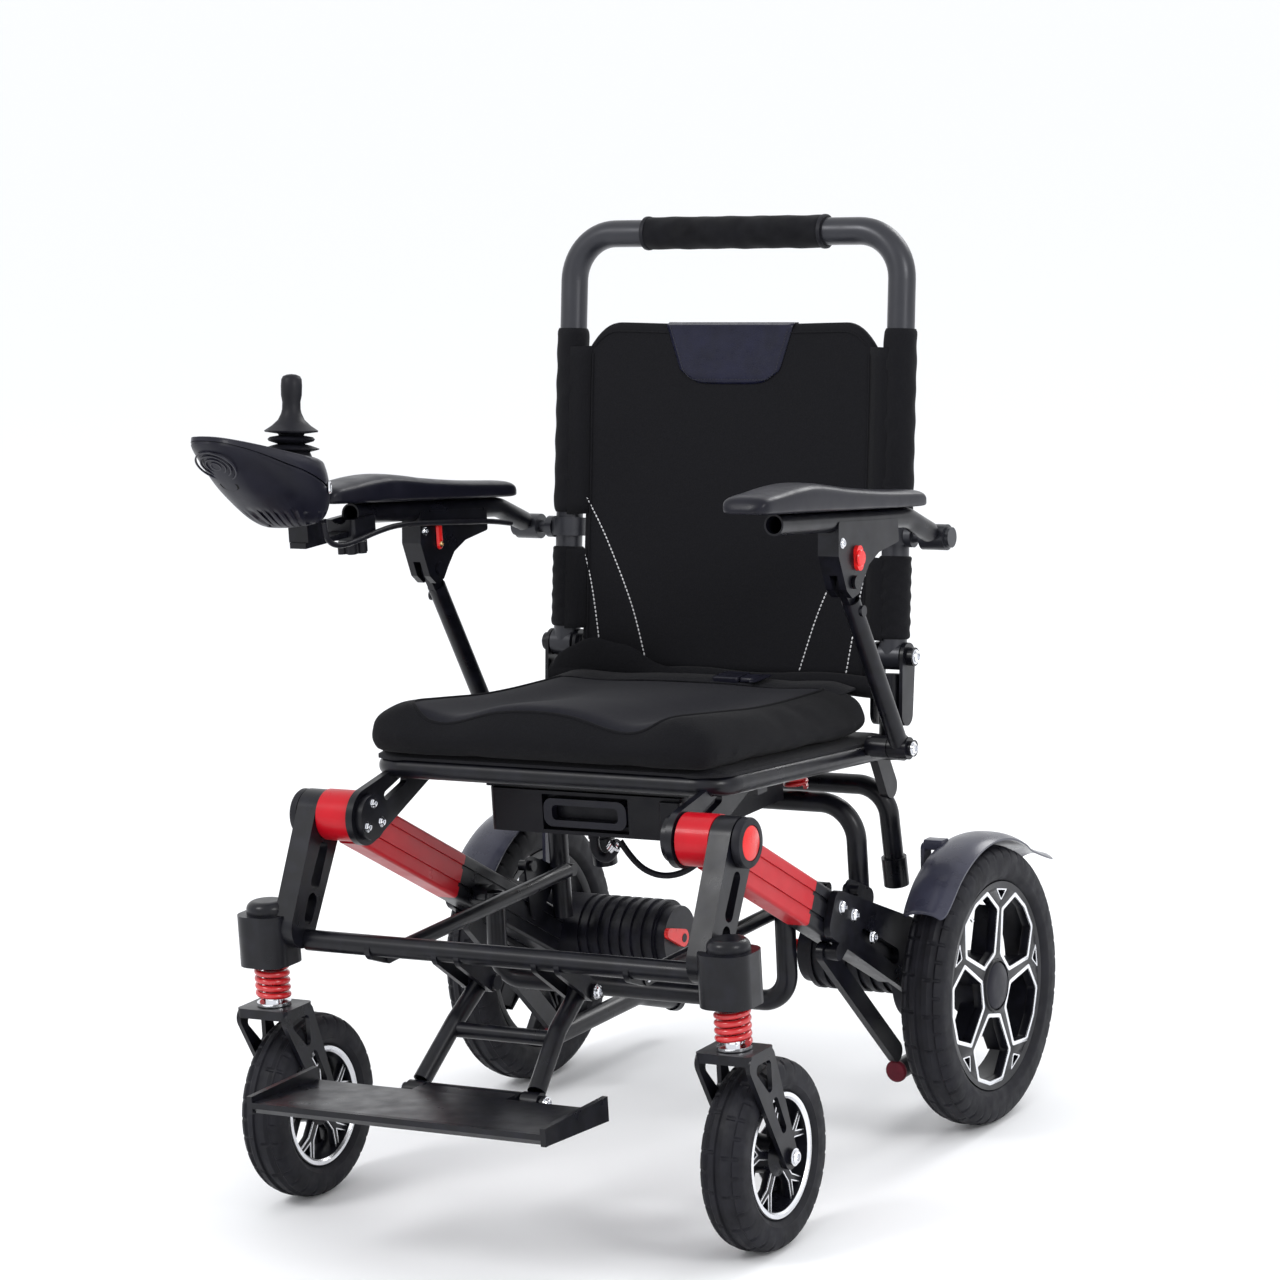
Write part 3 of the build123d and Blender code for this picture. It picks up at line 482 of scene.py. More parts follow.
def polar(cy, cz, pairs, turn):
    """Points from (radius, degrees) about a centre, turned by degrees."""
    return [(cy + r * math.cos(math.radians(a + turn)), cz + r * math.sin(math.radians(a + turn)))
            for r, a in pairs]


def circle(cy, cz, radius, count=96):
    return polar(cy, cz, [(radius, 360 * k / count) for k in range(count)], 0)


def rounded(points, radius, steps=4):
    """The polygon with its corners rounded."""
    out = []
    n = len(points)
    for i in range(n):
        a, b, c = (Vector(points[(i + k) % n]) for k in (-1, 0, 1))
        reach_in = min(radius, (a - b).length * 0.45)
        reach_out = min(radius, (c - b).length * 0.45)
        start, end = b + (a - b).normalized() * reach_in, b + (c - b).normalized() * reach_out
        for k in range(steps + 1):
            t = k / steps
            out.append(tuple(start * (1 - t) ** 2 + b * 2 * t * (1 - t) + end * t * t))
    return out


def inset(points, distance):
    """The polygon moved inwards by distance."""
    n = len(points)
    area = sum(points[i][0] * points[(i + 1) % n][1] - points[(i + 1) % n][0] * points[i][1]
               for i in range(n))
    sign = 1 if area > 0 else -1
    out = []
    for i in range(n):
        a, b, c = (Vector(points[(i + k) % n]) for k in (-1, 0, 1))
        n1 = Vector((-(b - a).y, (b - a).x)).normalized() * sign
        n2 = Vector((-(c - b).y, (c - b).x)).normalized() * sign
        half = (n1 + n2).normalized()
        out.append(tuple(b + half * (distance / max(half.dot(n1), 0.35))))
    return out


# ---------------------------------------------------------------- tyres and rims
def tread(name, x0, cy, cz, outer, inner, half, blocks, per, coat, body):
    """A tyre with grooved tread blocks and a ribbed side wall."""
    rings = blocks * per
    half_section = (4, 6, 10, 18, 26, 29, 32, 38, 45, 52, 57, 62, 70, 80, 92, 100, 106, 112, 122, 140, 160)
    thetas = [math.radians(t) for t in [-t for t in half_section[::-1]] + list(half_section)]
    middle, depth = (outer + inner) / 2, (outer - inner) / 2
    verts, faces = [], []
    n = len(thetas)
    for ring in range(rings):
        phase = ring % per
        angle = TAU * ring / rings
        odd = (ring // per) % 2
        for t in thetas:
            s, c = math.sin(t), math.cos(t)
            x = half * math.copysign(abs(s) ** 0.8, s)
            r = middle + depth * math.copysign(abs(c) ** 0.62, c)
            degrees = math.degrees(t)
            cut = 0.0
            shift = 2 if degrees > 0 else 5
            lateral = (phase + shift) % per < 2
            if abs(degrees) < 5 or 26 <= abs(degrees) <= 32:
                cut = 2.4
            elif abs(degrees) < 60 and lateral and abs(degrees) > (8 if odd else 30):
                cut = 2.2
            elif 60 <= abs(degrees) < 75 and lateral:
                cut = 0.9
            if 104 < abs(degrees) < 110:
                cut = -0.8
            r -= cut * max(c, 0.15)
            x -= cut * (1 - abs(c)) * math.copysign(0.8, s) if abs(degrees) > 30 else 0
            verts.append((x0 + x, cy + r * math.cos(angle), cz + r * math.sin(angle)))
    for a in range(rings):
        b = (a + 1) % rings
        faces += [(a * n + i, a * n + i + 1, b * n + i + 1, b * n + i) for i in range(n - 1)]
        faces.append((a * n + n - 1, a * n, b * n, b * n + n - 1))
    return piece(name, verts, faces, coat, body, 30)


RIM_WINDOW = [(37, 21), (37, -21), (82, -31), (103, -16), (104, 0), (103, 16), (82, 31)]
RIM_NOTCH = [(94, 0), (104, 5.5), (104, -5.5)]
RIM_TURN, RIM_STEP = 40.5, 72
RIM_BARREL = [(113, -20), (113, 20), (106.5, 19), (105, 12), (103, 2), (103, -18), (106, -20), (113, -20)]
HUB_BARREL = [(30, -24), (36, -16), (34, 2), (31, 16), (28.5, 21), (27, 21.5), (26, 18.5), (8.2, 18.5),
              (8.2, -24), (30, -24)]
HUB_CAP = [(0, 18.7), (25.2, 18.7), (25.2, 20.6), (23.5, 22), (13, 23), (0, 23.4)]
VALVE = [(3, -6), (3, 8), (2, 9), (2, 16), (0, 16)]
VALVE_TURN = 1.9


def rim_rib(x0, turn, off, sign):
    """A rib behind the rim's face along one spoke."""
    along = Vector((0, math.cos(turn), math.sin(turn)))
    across = Vector((0, -math.sin(turn), math.cos(turn)))
    hub = Vector((x0, 0, REAR_R))
    wall, thick = Vector((sign * 9, 0, 0)), across * 1.6
    return loft([[p - thick - wall, p + thick - wall, p + thick + wall, p - thick + wall]
                 for p in (hub + along * 28 + across * off, hub + along * 86 + across * off * 0.28)])


def drive_wheel(side, sign):
    body = f"drive_wheel_{side}"
    x0, face_x = sign * REAR_X, sign * (REAR_X + 13.5)
    tyre = tread(f"rear_tyre_{side}", x0, 0, REAR_R, REAR_R, RIM_R, 25.5, 48, 12, "rubber", body)
    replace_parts(tyre, f"rear_wheel_{side}")
    loops, frames, ribs = [circle(0, REAR_R, 109)], [], Batch()
    for k in range(5):
        turn = RIM_TURN + RIM_STEP * k
        window = polar(0, REAR_R, RIM_WINDOW, turn)
        notch = polar(0, REAR_R, RIM_NOTCH, turn + RIM_STEP / 2)
        loops += [rounded(window, 3), rounded(notch, 1.5)]
        frames += [(inset(window, -4.2), window), (inset(notch, -1.5), notch)]
        for off in (-9.5, 9.5):
            ribs.add(rim_rib(x0, math.radians(turn + RIM_STEP / 2), off, sign))
    plate(f"rim_face_{side}", loops, face_x, 5.5, 1.2, "satin_black", body)
    for k, (outer, inner) in enumerate(frames):
        plate(f"rim_edge_{side}_{k}", [rounded(outer, 2.5), rounded(inner, 2.5)],
              face_x + sign * 5.0, 0.9, 0.3, "silver", body)
    ribs.make(f"rim_ribs_{side}", "satin_black", body)
    centre, axis = (x0, 0, REAR_R), (sign, 0, 0)
    barrel = Batch().add(turned(centre, axis, RIM_BARREL, 96)).add(turned(centre, axis, HUB_BARREL, 64))
    barrel.make(f"rim_barrel_{side}", "satin_black", body)
    piece(f"hub_cap_{side}", *turned(centre, axis, HUB_CAP, 48), "pod_plastic", body)
    c, sn = math.cos(VALVE_TURN), math.sin(VALVE_TURN)
    valve = turned((x0 + sign * 3, 96 * c, REAR_R + 96 * sn), (sign * 0.3, -c, -sn), VALVE, 12)
    piece(f"valve_{side}", *valve, "chrome", body)


CASTER_BARREL = [(64, -19), (64, 19), (57, 18), (55, 8), (53.5, 0), (55, -8), (57, -18), (64, -19)]
CASTER_LIP = [(63.5, 18), (63, 20.4), (59, 20.6), (57, 18.6), (58, 17.4), (63.5, 18)]
CASTER_HUB = [(4.1, -24), (13, -24), (17, -18), (21, -16), (19, 0), (21, 16), (17, 18), (13, 24), (4.1, 24),
              (4.1, -24)]
CASTER_SPOKE = [(17, 17), (38, 8), (58.5, 15), (58.5, 8.5), (43, 0), (58.5, -8.5), (58.5, -15), (38, -8),
                (17, -17)]


def front_wheel(side, sign):
    body = f"front_wheel_{side}"
    x0 = sign * CASTER_X
    centre, axis = (x0, CASTER_Y, CASTER_R), (1, 0, 0)
    tyre = tread(f"caster_tyre_{side}", *centre, CASTER_R, 61, 24, 30, 12, "rubber", body)
    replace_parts(tyre, f"caster_wheel_{side}")
    piece(f"caster_barrel_{side}", *turned(centre, axis, CASTER_BARREL, 80), "satin_black", body)
    lips = Batch()
    for out in (1, -1):
        lips.add(turned(centre, (out, 0, 0), CASTER_LIP, 80))
    lips.make(f"caster_lip_{side}", "silver", body)
    for out, label in ((1, "out"), (-1, "in")):
        for k in range(5):
            shape = polar(CASTER_Y, CASTER_R, CASTER_SPOKE, 20 + 72 * k)
            plate(f"caster_spoke_{side}_{label}_{k}", [shape], x0 + out * 11, 4, 0.8, "satin_black", body)
            plate(f"caster_edge_{side}_{label}_{k}", [shape, inset(shape, 1.3)],
                  x0 + out * 15, 0.7, 0.2, "silver", body)
    piece(f"caster_hub_{side}", *turned(centre, axis, CASTER_HUB, 48), "satin_black", body)


for side, sign in SIDES:
    drive_wheel(side, sign)
    front_wheel(side, sign)


# ---------------------------------------------------------------- seat cushion
CUSHION_MIDDLE = [(-442, 524), (-400, 522), (-330, 512), (-250, 500), (-150, 491), (-50, 487)]
THIGH_TROUGH = [(-442, 15), (-380, 17), (-260, 12), (-150, 3)]


def seat_top(x, y):
    """Height of the contoured cushion top."""
    middle = interpolate(y, CUSHION_MIDDLE)
    thigh = math.exp(-((abs(x) - 108) / 48) ** 2) * interpolate(y, THIGH_TROUGH)
    shoulder = 17 * (max(abs(x) - 150, 0) / 70) ** 1.8
    return middle - thigh - shoulder


def seat_base(y):
    """Height of the cushion's underside."""
    return 474 + (y + 442) / 392 * (438.2 - 474) + 1


CUSHION_X, CUSHION_FRONT, CUSHION_REAR = 217, -439, -53
CUSHION_COLUMNS, CUSHION_ROWS, CUSHION_ROUND = 44, 40, (12, 22)


def cushion_point(layer, i, j):
    """A pillow between seat_base and seat_top, with rounded edges and corners."""
    mid, half_y = (CUSHION_FRONT + CUSHION_REAR) / 2, (CUSHION_REAR - CUSHION_FRONT) / 2
    u, v = 2 * i / CUSHION_COLUMNS - 1, 2 * j / CUSHION_ROWS - 1
    u, v = math.copysign(abs(u) ** 0.85, u), math.copysign(abs(v) ** 0.85, v)
    corner = 13 * abs(u * v) ** 6
    x = (CUSHION_X - corner) * u
    y = mid + (half_y - corner) * v
    edge = min(CUSHION_X * (1 - abs(u)), half_y * (1 - abs(v)))
    r = CUSHION_ROUND[layer]
    drop = r * (1 - math.sqrt(1 - (1 - min(edge, r) / r) ** 2))
    return x, y, seat_top(x, y) - 2 - drop if layer else seat_base(y) + 1 + drop


def apply_modifiers(obj):
    mesh = bpy.data.meshes.new_from_object(obj.evaluated_get(bpy.context.evaluated_depsgraph_get()))
    obj.modifiers.clear()
    obj.data = mesh


def padded_cloth(obj, voxel, cap, pressure=4.0):
    """Swells a closed shape as filled cloth, keeping each point within cap mm of its place."""
    remesh = obj.modifiers.new("remesh", "REMESH")
    remesh.mode, remesh.voxel_size = "VOXEL", voxel * MM
    apply_modifiers(obj)
    before = np.array([v.co for v in obj.data.vertices])
    cloth = obj.modifiers.new("cloth", "CLOTH")
    cloth.settings.quality = 4
    cloth.settings.use_pressure = True
    cloth.settings.uniform_pressure_force = pressure
    cloth.settings.effector_weights.gravity = 0
    for number in range(1, 21):
        bpy.context.scene.frame_set(number)
    apply_modifiers(obj)
    bpy.context.scene.frame_set(1)
    after = np.array([v.co for v in obj.data.vertices])
    move = after - before
    length = np.linalg.norm(move, axis=1, keepdims=True)
    move *= np.minimum(1, cap * MM / np.maximum(length, 1e-9))
    obj.data.vertices.foreach_set("co", (before + move).ravel())
    smooth = obj.modifiers.new("smooth", "CORRECTIVE_SMOOTH")
    smooth.use_only_smooth, smooth.iterations = True, 6
    subdivide = obj.modifiers.new("subdivide", "SUBSURF")
    subdivide.levels = subdivide.render_levels = 1
    apply_modifiers(obj)
    obj.data.shade_smooth()


INSERT_X, INSERT_FRONT, INSERT_REAR, INSERT_CORNER = 166.0, -420.0, -68.0, 46.0
cushion = piece("cushion", *double_grid(CUSHION_COLUMNS, CUSHION_ROWS, cushion_point), "knit")
padded_cloth(cushion, 5.0, 6.0)
cushion.data.materials.append(FINISHES["seat_top"].material)
for face in cushion.data.polygons:
    centre = face.center / MM
    along = abs(centre.y - AXLE_Y - (INSERT_FRONT + INSERT_REAR) / 2)
    dx = max(abs(centre.x) - INSERT_X + INSERT_CORNER, 0)
    dy = max(along - (INSERT_REAR - INSERT_FRONT) / 2 + INSERT_CORNER, 0)
    if face.normal.z > 0.4 and math.hypot(dx, dy) < INSERT_CORNER:
        face.material_index = 1
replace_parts(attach(cushion, "seat"), "seat_cushion")


def hits(obj, rays):
    """Where rays (start, direction) in mm first meet a piece, in mm, with the normals."""
    tree = BVHTree.FromPolygons([v.co for v in obj.data.vertices],
                                [p.vertices for p in obj.data.polygons])
    out = []
    for start, direction in rays:
        found, normal, _, _ = tree.ray_cast(pos(*start), Vector(direction).normalized())
        if found:
            out.append((Vector((found.x / MM, found.y / MM - AXLE_Y, found.z / MM)), normal))
    return out


def outline(half_x, y_low, y_high, corner, steps=10):
    """Points of a rounded rectangle in plan."""
    out = []
    for cx, cy, start in ((1, 1, 0), (-1, 1, 90), (-1, -1, 180), (1, -1, 270)):
        x, y = cx * (half_x - corner), (y_high - corner if cy > 0 else y_low + corner)
        for k in range(steps + 1):
            a = math.radians(start + 90 * k / steps)
            out.append((x + corner * math.cos(a), y + corner * math.sin(a)))
    dense = []
    for i, (x, y) in enumerate(out):
        nx, ny = out[(i + 1) % len(out)]
        count = max(1, int(math.hypot(nx - x, ny - y) / 8))
        dense += [(x + (nx - x) * k / count, y + (ny - y) * k / count) for k in range(count)]
    return dense


panel_edge = hits(cushion, [((x, y, 600), (0, 0, -1))
                            for x, y in outline(INSERT_X, INSERT_FRONT, INSERT_REAR, INSERT_CORNER)])
piece("cushion_piping", *path_tube([p + n * 0.2 for p, n in panel_edge], 1.6, 8, True), "knit", "seat")


# ---------------------------------------------------------------- back panel
HINGE_Y, HINGE_Z, BACK_SLOPE, BACK_X = -12.0, 513.0, 0.16, 205.0
PANEL_HALF, PANEL_LOW, PANEL_HIGH = 181.0, 488.0, 866.0


def back_y(z):
    """Depth of the back tubes' axis, which leans."""
    return HINGE_Y + BACK_SLOPE * (z - HINGE_Z)


def back_front(x, z):
    """Depth of the panel's front face: it bows back a little between the tubes."""
    height = min(max((z - 487) / 379, 0), 1)
    bow = 5.5 * (1 - (x / PANEL_HALF) ** 2) * math.sin(math.pi * height) ** 0.6
    crease = 0.8 * math.sin(z / 31 + x / 90) * math.exp(-((abs(x) - 150) / 40) ** 2)
    return back_y(z) - 9.5 + bow + crease


def back_top(x):
    """Height of the panel's top edge, with its rounded corners."""
    over = max(abs(x) - 140, 0) / 41
    return PANEL_HIGH - 30 * over ** 2.2 - 1.5 * math.cos(x / 60)


PANEL_COLUMNS, PANEL_ROWS = 72, 72


def panel_point(layer, i, j):
    """The back panel: its front face bows, its rear face is flat, its edges are rolled."""
    x = -PANEL_HALF + 2 * PANEL_HALF * i / PANEL_COLUMNS
    z = PANEL_LOW + (back_top(x) - PANEL_LOW) * j / PANEL_ROWS
    edge = min(PANEL_HALF - abs(x), z - PANEL_LOW, back_top(x) - z)
    roll = 4.2 * (1 - math.sqrt(1 - (1 - min(edge, 8) / 8) ** 2))
    return x, back_front(x, z) + roll if layer else back_y(z) + 2.5 - roll, z


panel_shape = double_grid(PANEL_COLUMNS, PANEL_ROWS, panel_point)
panel = piece("back_cloth_panel", *panel_shape, "back_cloth", None, 60)
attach(panel, "back")
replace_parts(panel, "back_panel")


def on_back(x, z, lift=0.3):
    """The point lift in front of the back panel at x, z."""
    return (x, back_front(x, z) - lift, z)


def stitches(points, pitch, length, radius):
    """A row of stitches along points in mm."""
    batch = Batch()
    points = [Vector(p) for p in points]
    run = [0.0]
    for a, b in zip(points, points[1:]):
        run.append(run[-1] + (b - a).length)

    def at(s):
        k = max(i for i in range(len(run)) if run[i] <= s + 1e-9)
        k = min(k, len(points) - 2)
        t = (s - run[k]) / max(run[k + 1] - run[k], 1e-9)
        return points[k].lerp(points[k + 1], t)

    s = 0.5
    while s + length < run[-1]:
        a, b = at(s), at(s + length)
        batch.add(path_tube([a, a.lerp(b, 0.25), a.lerp(b, 0.75), b],
                            lambda t: radius * (0.45 if t in (0, 1) else 1), 6))
        s += pitch
    return batch


SIDE_SEAMS = ([(178, 676), (150, 628), (118, 560), (96, 494)], [(179, 618), (167, 572), (154, 494)])
arcs = Batch()
for sign in (1, -1):
    for points in SIDE_SEAMS:
        path = smooth_path([(sign * x, 0, z) for x, z in points], 24)
        seam = stitches([on_back(p.x, p.z, 0.4) for p in path], 4.6, 3.2, 0.75)
        arcs.add((seam.verts, seam.faces))
arcs.make("back_stitching", "thread", "back")


def patch_edge(t):
    """Half width of the top patch at height fraction t from its bottom."""
    return 57 + 22 * t


PATCH_ROWS, PATCH_COLUMNS, PATCH_LOW = 16, 28, 801
verts = []
for j in range(PATCH_ROWS + 1):
    t = j / PATCH_ROWS
    z = PATCH_LOW + (back_top(0) - PATCH_LOW + 0.5) * t
    corner = max(0, 1 - t * 4)
    for i in range(PATCH_COLUMNS + 1):
        u = 2 * i / PATCH_COLUMNS - 1
        x = u * (patch_edge(t) - 9 * corner ** 2 * abs(u) ** 3)
        border = min((1 - abs(u)) * 60, t * 66)
        verts.append(on_back(x, z + 7 * corner * abs(u) ** 5, 0.5 + 1.4 * min(border / 5, 1)))
top_row = verts[-PATCH_COLUMNS - 1:]
fold = [(x, back_y(PANEL_HIGH) + 3.0, z + 1.2) for x, _, z in top_row]
crest = [(x, (y + f[1]) / 2, z + 2.0) for (x, y, z), f in zip(top_row, fold)]
verts += crest + fold + [(x * 0.97, back_y(840) + 4.4, 838) for x, _, _ in fold]
n = PATCH_COLUMNS + 1
faces = [(j * n + i, j * n + i + 1, (j + 1) * n + i + 1, (j + 1) * n + i)
         for j in range(PATCH_ROWS + 3) for i in range(PATCH_COLUMNS)]
patch = piece("back_patch", verts, faces, "leatherette", "back", 70)
solid = patch.modifiers.new("thickness", "SOLIDIFY")
solid.thickness, solid.offset = 0.9 * MM, 0
edge_path = ([on_back(-patch_edge(t) + 5, PATCH_LOW + 62 * t, 2.2) for t in (1, 0.8, 0.6, 0.4, 0.22)]
             + [on_back(x, 806, 2.2) for x in (-46, -30, 0, 30, 46)]
             + [on_back(patch_edge(t) - 5, PATCH_LOW + 62 * t, 2.2) for t in (0.22, 0.4, 0.6, 0.8, 1)])
stitches(smooth_path(edge_path, 8), 3.6, 2.6, 0.5).make("patch_stitching", "dark_thread", "back")

hem = Batch()
for sign in (1, -1):
    hem.add(path_tube([on_back(sign * 173, z, 0.5) for z in range(492, 838, 6)], 1.1, 6))
hem.add(path_tube([on_back(x, back_top(x) - 9, 0.4) for x in range(-172, 173, 6)], 0.9, 6))
hem.make("back_hem", "back_cloth", "back")


# ---------------------------------------------------------------- sleeves
def sleeve(name, start, end, radius, coat, body, seed, overlap=True):
    """A wrapped cloth sleeve with soft folds and a lapped edge facing the front."""
    start, end = Vector(start), Vector(end)
    rows, ring = 60, 40
    u, v, w = basis(end - start)
    loops_out, loops_in = [], []
    for j in range(rows + 1):
        t = j / rows
        centre = start.lerp(end, t)
        roll = 1 - 0.1 * (1 - min(t, 1 - t, 0.03) / 0.03) ** 2
        loop = []
        for k in range(ring):
            a = TAU * k / ring
            fold = (0.35 * math.sin(5 * a + seed + 9 * t) * math.sin(31 * t + seed)
                    + 0.25 * math.sin(3 * a - 40 * t + seed))
            lap = 0.8 if overlap and 0.5 < a < 2.4 else 0
            reach = (radius - 0.7 + fold + lap) * roll
            loop.append(centre + (u * math.cos(a) + v * math.sin(a)) * reach)
        loops_out.append(loop)
    for j in (rows, 0):
        centre = start.lerp(end, j / rows)
        loops_in.append([centre + (u * math.cos(TAU * k / ring) + v * math.sin(TAU * k / ring)) * 15.15
                         for k in range(ring)])
    obj = piece(name, *loft(loops_out + loops_in, True, False), coat, body, 55)
    return obj


WING_ROWS = 14
for side, sign in SIDES:
    for label, low, high in (("upper", 657, 860), ("lower", 531, 619)):
        sleeve(f"back_sleeve_{label}_{side}", (sign * BACK_X, back_y(low), low),
               (sign * BACK_X, back_y(high), high), 18.6, "back_cloth", "back", sign * 1.3 + low)
    bridge = Batch()
    for low, high in ((657, 842), (531, 619)):
        heights = [low + (high - low) * k / WING_ROWS for k in range(WING_ROWS + 1)]
        front = [(sign * 174, back_front(sign * 174, z) + 0.6, z) for z in heights]
        rear = [(sign * 199, back_y(z) - 16.4, z) for z in heights]
        bridge.add((front + rear, [(k, k + 1, WING_ROWS + 2 + k, WING_ROWS + 1 + k)
                                   for k in range(WING_ROWS)]))
    wing = bridge.make(f"back_wing_{side}", "back_cloth", "back", 60)
    thick = wing.modifiers.new("thickness", "SOLIDIFY")
    thick.thickness, thick.offset = 1.6 * MM, 0

handle_y = back_y(964)
grip = sleeve("handle_grip", (-113, handle_y, 964), (113, handle_y, 964), 18.6, "foam", "back", 0.4,
              False)
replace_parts(grip, "handle_sleeve")
CUFF = [(15.1, 0), (18.6, 0.3), (18.9, 2.5), (18.6, 4.7), (15.1, 5), (15.1, 0)]
cuffs = Batch()
for x in (-113, 108):
    cuffs.add(turned((x, handle_y, 964), (1, 0, 0), CUFF, 40))
cuffs.make("handle_cuffs", "grip_rubber", "back")


# ---------------------------------------------------------------- armrest pads
def arm_z(y):
    """Height of the armrest tube, which slopes."""
    return 673.0 - 0.1263 * (y + 63.0)


PAD_TOP = [(-420, 24), (-415, 28), (-400, 31.5), (-380, 34), (-340, 39.5), (-304, 42), (-268, 40),
           (-230, 36.5), (-150, 32), (-90, 30.5), (-60, 29.5), (-50, 26), (-46, 21)]
PAD_WIDTH = [(-420, 0.93), (-330, 1.0), (-200, 0.97), (-46, 0.86)]


def arm_pad(side, sign):
    loops = []
    count = 36
    for k in range(61):
        y = -419 + 372 * k / 60
        end = min(y + 419, -47 - y)
        taper = math.sqrt(max(1 - (1 - min(end, 16) / 16) ** 2, 0.02))
        half = 27.5 * (0.55 + 0.45 * taper) * interpolate(y, PAD_WIDTH)
        top = interpolate(y, PAD_TOP) if end > 0 else 17
        low = 11.6
        mid, high = (low + top) / 2, (top - low) / 2 * (0.5 + 0.5 * taper)
        loop = []
        for i in range(count):
            a = TAU * i / count
            c, s = math.cos(a), math.sin(a)
            x = half * math.copysign(abs(c) ** 0.42, c)
            dz = high * math.copysign(abs(s) ** (0.5 if s > 0 else 0.3), s)
            crown = -2.2 * (x / half) ** 2 if s > 0 else 0
            loop.append((sign * ARM_X + x, y, arm_z(y) + mid + dz + crown))
        loops.append(loop)
    pad = piece(f"arm_pad_{side}", *loft(loops), "pad_skin", None, 60)
    smooth = pad.modifiers.new("subdivide", "SUBSURF")
    smooth.levels = smooth.render_levels = 1
    apply_modifiers(pad)
    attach(pad, f"armrest_{side}")
    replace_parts(pad, f"armrest_pad_{side}")
    ring = []
    for k in range(120):
        a = TAU * k / 120
        c, s = math.cos(a), math.sin(a)
        y = -233 + 181 * math.copysign(abs(s) ** 0.35, s)
        x = 26.0 * math.copysign(abs(c) ** 0.35, c) * interpolate(y, PAD_WIDTH)
        ring.append((sign * ARM_X + x, y, arm_z(y) + 15.5))
    piece(f"arm_pad_seam_{side}", *path_tube(ring, 0.9, 6, True), "pad_skin", f"armrest_{side}")


for side, sign in SIDES:
    arm_pad(side, sign)


# ---------------------------------------------------------------- hand controller
POD_X = -254.0
POD_FRONT = [(-605, 826.5), (-604, 817), (-588, 797), (-566, 772), (-543, 751), (-518, 731), (-500, 720),
             (-488, 715.5)]
POD_REAR = [(-425, 771), (-423, 760), (-422.5, 748), (-423, 738), (-425, 729), (-429, 721), (-434, 717),
            (-440, 715.5)]
POD_HALF = [45, 47.6, 47.8, 46, 42.5, 37, 31, 27]
POD_LEVELS, DECK_MIDDLE = 28, -512.0
POD_RING = 168


def pod_point(level, k):
    """A point of the controller's hull; level runs from the deck's edge, 0, to the base, 1."""
    fy, fz, ry, rz, half = (interpolate(level * 7, list(enumerate(table)))
                            for table in (*zip(*POD_FRONT), *zip(*POD_REAR), POD_HALF))
    a = TAU * k / POD_RING
    c, sn = math.cos(a), math.sin(a)
    y = (fy + ry) / 2 + (ry - fy) / 2 * math.copysign(abs(c) ** 0.72, c)
    x = half * math.copysign(abs(sn) ** 0.72, sn)
    t = (y - fy) / (ry - fy)
    nose = 1 - 0.32 * max(1 - t, 0) ** 2.2
    z = fz + (rz - fz) * t
    return Vector((POD_X + x * nose, y, z))


def pod_split(k):
    """Where the seam between deck and bowl runs: at the edge in front, lower at the rear."""
    c = math.cos(TAU * k / POD_RING)
    return 0.07 + 0.34 * ((1 + c) / 2) ** 1.6


base_loops = []
for j in range(POD_LEVELS + 1):
    loop = []
    for k in range(POD_RING):
        split = pod_split(k) + 0.012
        level = split + (1 - split) * j / POD_LEVELS
        point = pod_point(level, k)
        out = Vector((point.x - POD_X, (point.y + 500) * 0.6, 0)).normalized()
        slot = 0.66 < level < 0.93 and k % 7 < 3 and j > 1
        loop.append(point - out * (1.1 if j == 0 else 3.6 if slot else 0))
    base_loops.append(loop)
bowl = piece("controller_bowl", *loft(base_loops), "pod_plastic", "controller", 32)
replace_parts(bowl, "controller_base")

DECK_RINGS = [(0.985, 1.6), (0.94, 3.2), (0.86, 3.6), (0.78, 2.4), (0.55, 1.2)]
deck_loops = [[pod_point(pod_split(k) * (1 - j / 8), k) for k in range(POD_RING)] for j in range(9)]
for scale, lift in DECK_RINGS:
    loop = []
    for k in range(POD_RING):
        edge = pod_point(0, k)
        y = DECK_MIDDLE + (edge.y - DECK_MIDDLE) * scale
        x = POD_X + (edge.x - POD_X) * scale
        z = 828 - (y + 606) * math.tan(math.radians(17.5)) - 1.5 + lift - 1.6
        hump = 5.5 * math.exp(-(((y + 454) / 42) ** 2 + ((x - POD_X) / 46) ** 2)) * scale
        loop.append(Vector((x, y, min(z + hump, 828.0))))
    deck_loops.append(loop)
deck = piece("controller_deck", *loft(deck_loops), "deck_plastic", "controller", 40)
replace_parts(deck, "controller_top")

RECESS = [(0, 0), (10, 0), (11, 1.4), (9, 1.8), (8, 0.8), (0, 0.8)]
SOCKET = [(0, 0), (6.5, 0), (6.5, 2.0), (5.2, 2.6), (4.8, 1.0), (0, 1.0)]
grille = Batch()
slope = Vector((0, -0.72, -0.69)).normalized()
for r in (5.5, 11, 16.5, 22):
    ring = [(r - 0.9, 0), (r + 0.9, 0), (r + 0.7, 1.6), (r - 0.7, 1.6), (r - 0.9, 0)]
    grille.add(turned((POD_X, -584, 794), slope, ring, 40))
grille.make("speaker_rings", "deck_plastic", "controller")
# the sensor recess is a shallow disc; its near-black colour is painted shade for the hole's depth
piece("sensor_recess", *turned((POD_X, -563, 772), slope, RECESS, 36), "dark_void", "controller")
socket = turned((POD_X + 40, -446, 752), (0.86, 0.5, 0), SOCKET, 30)
piece("charge_socket", *socket, "chrome", "controller")

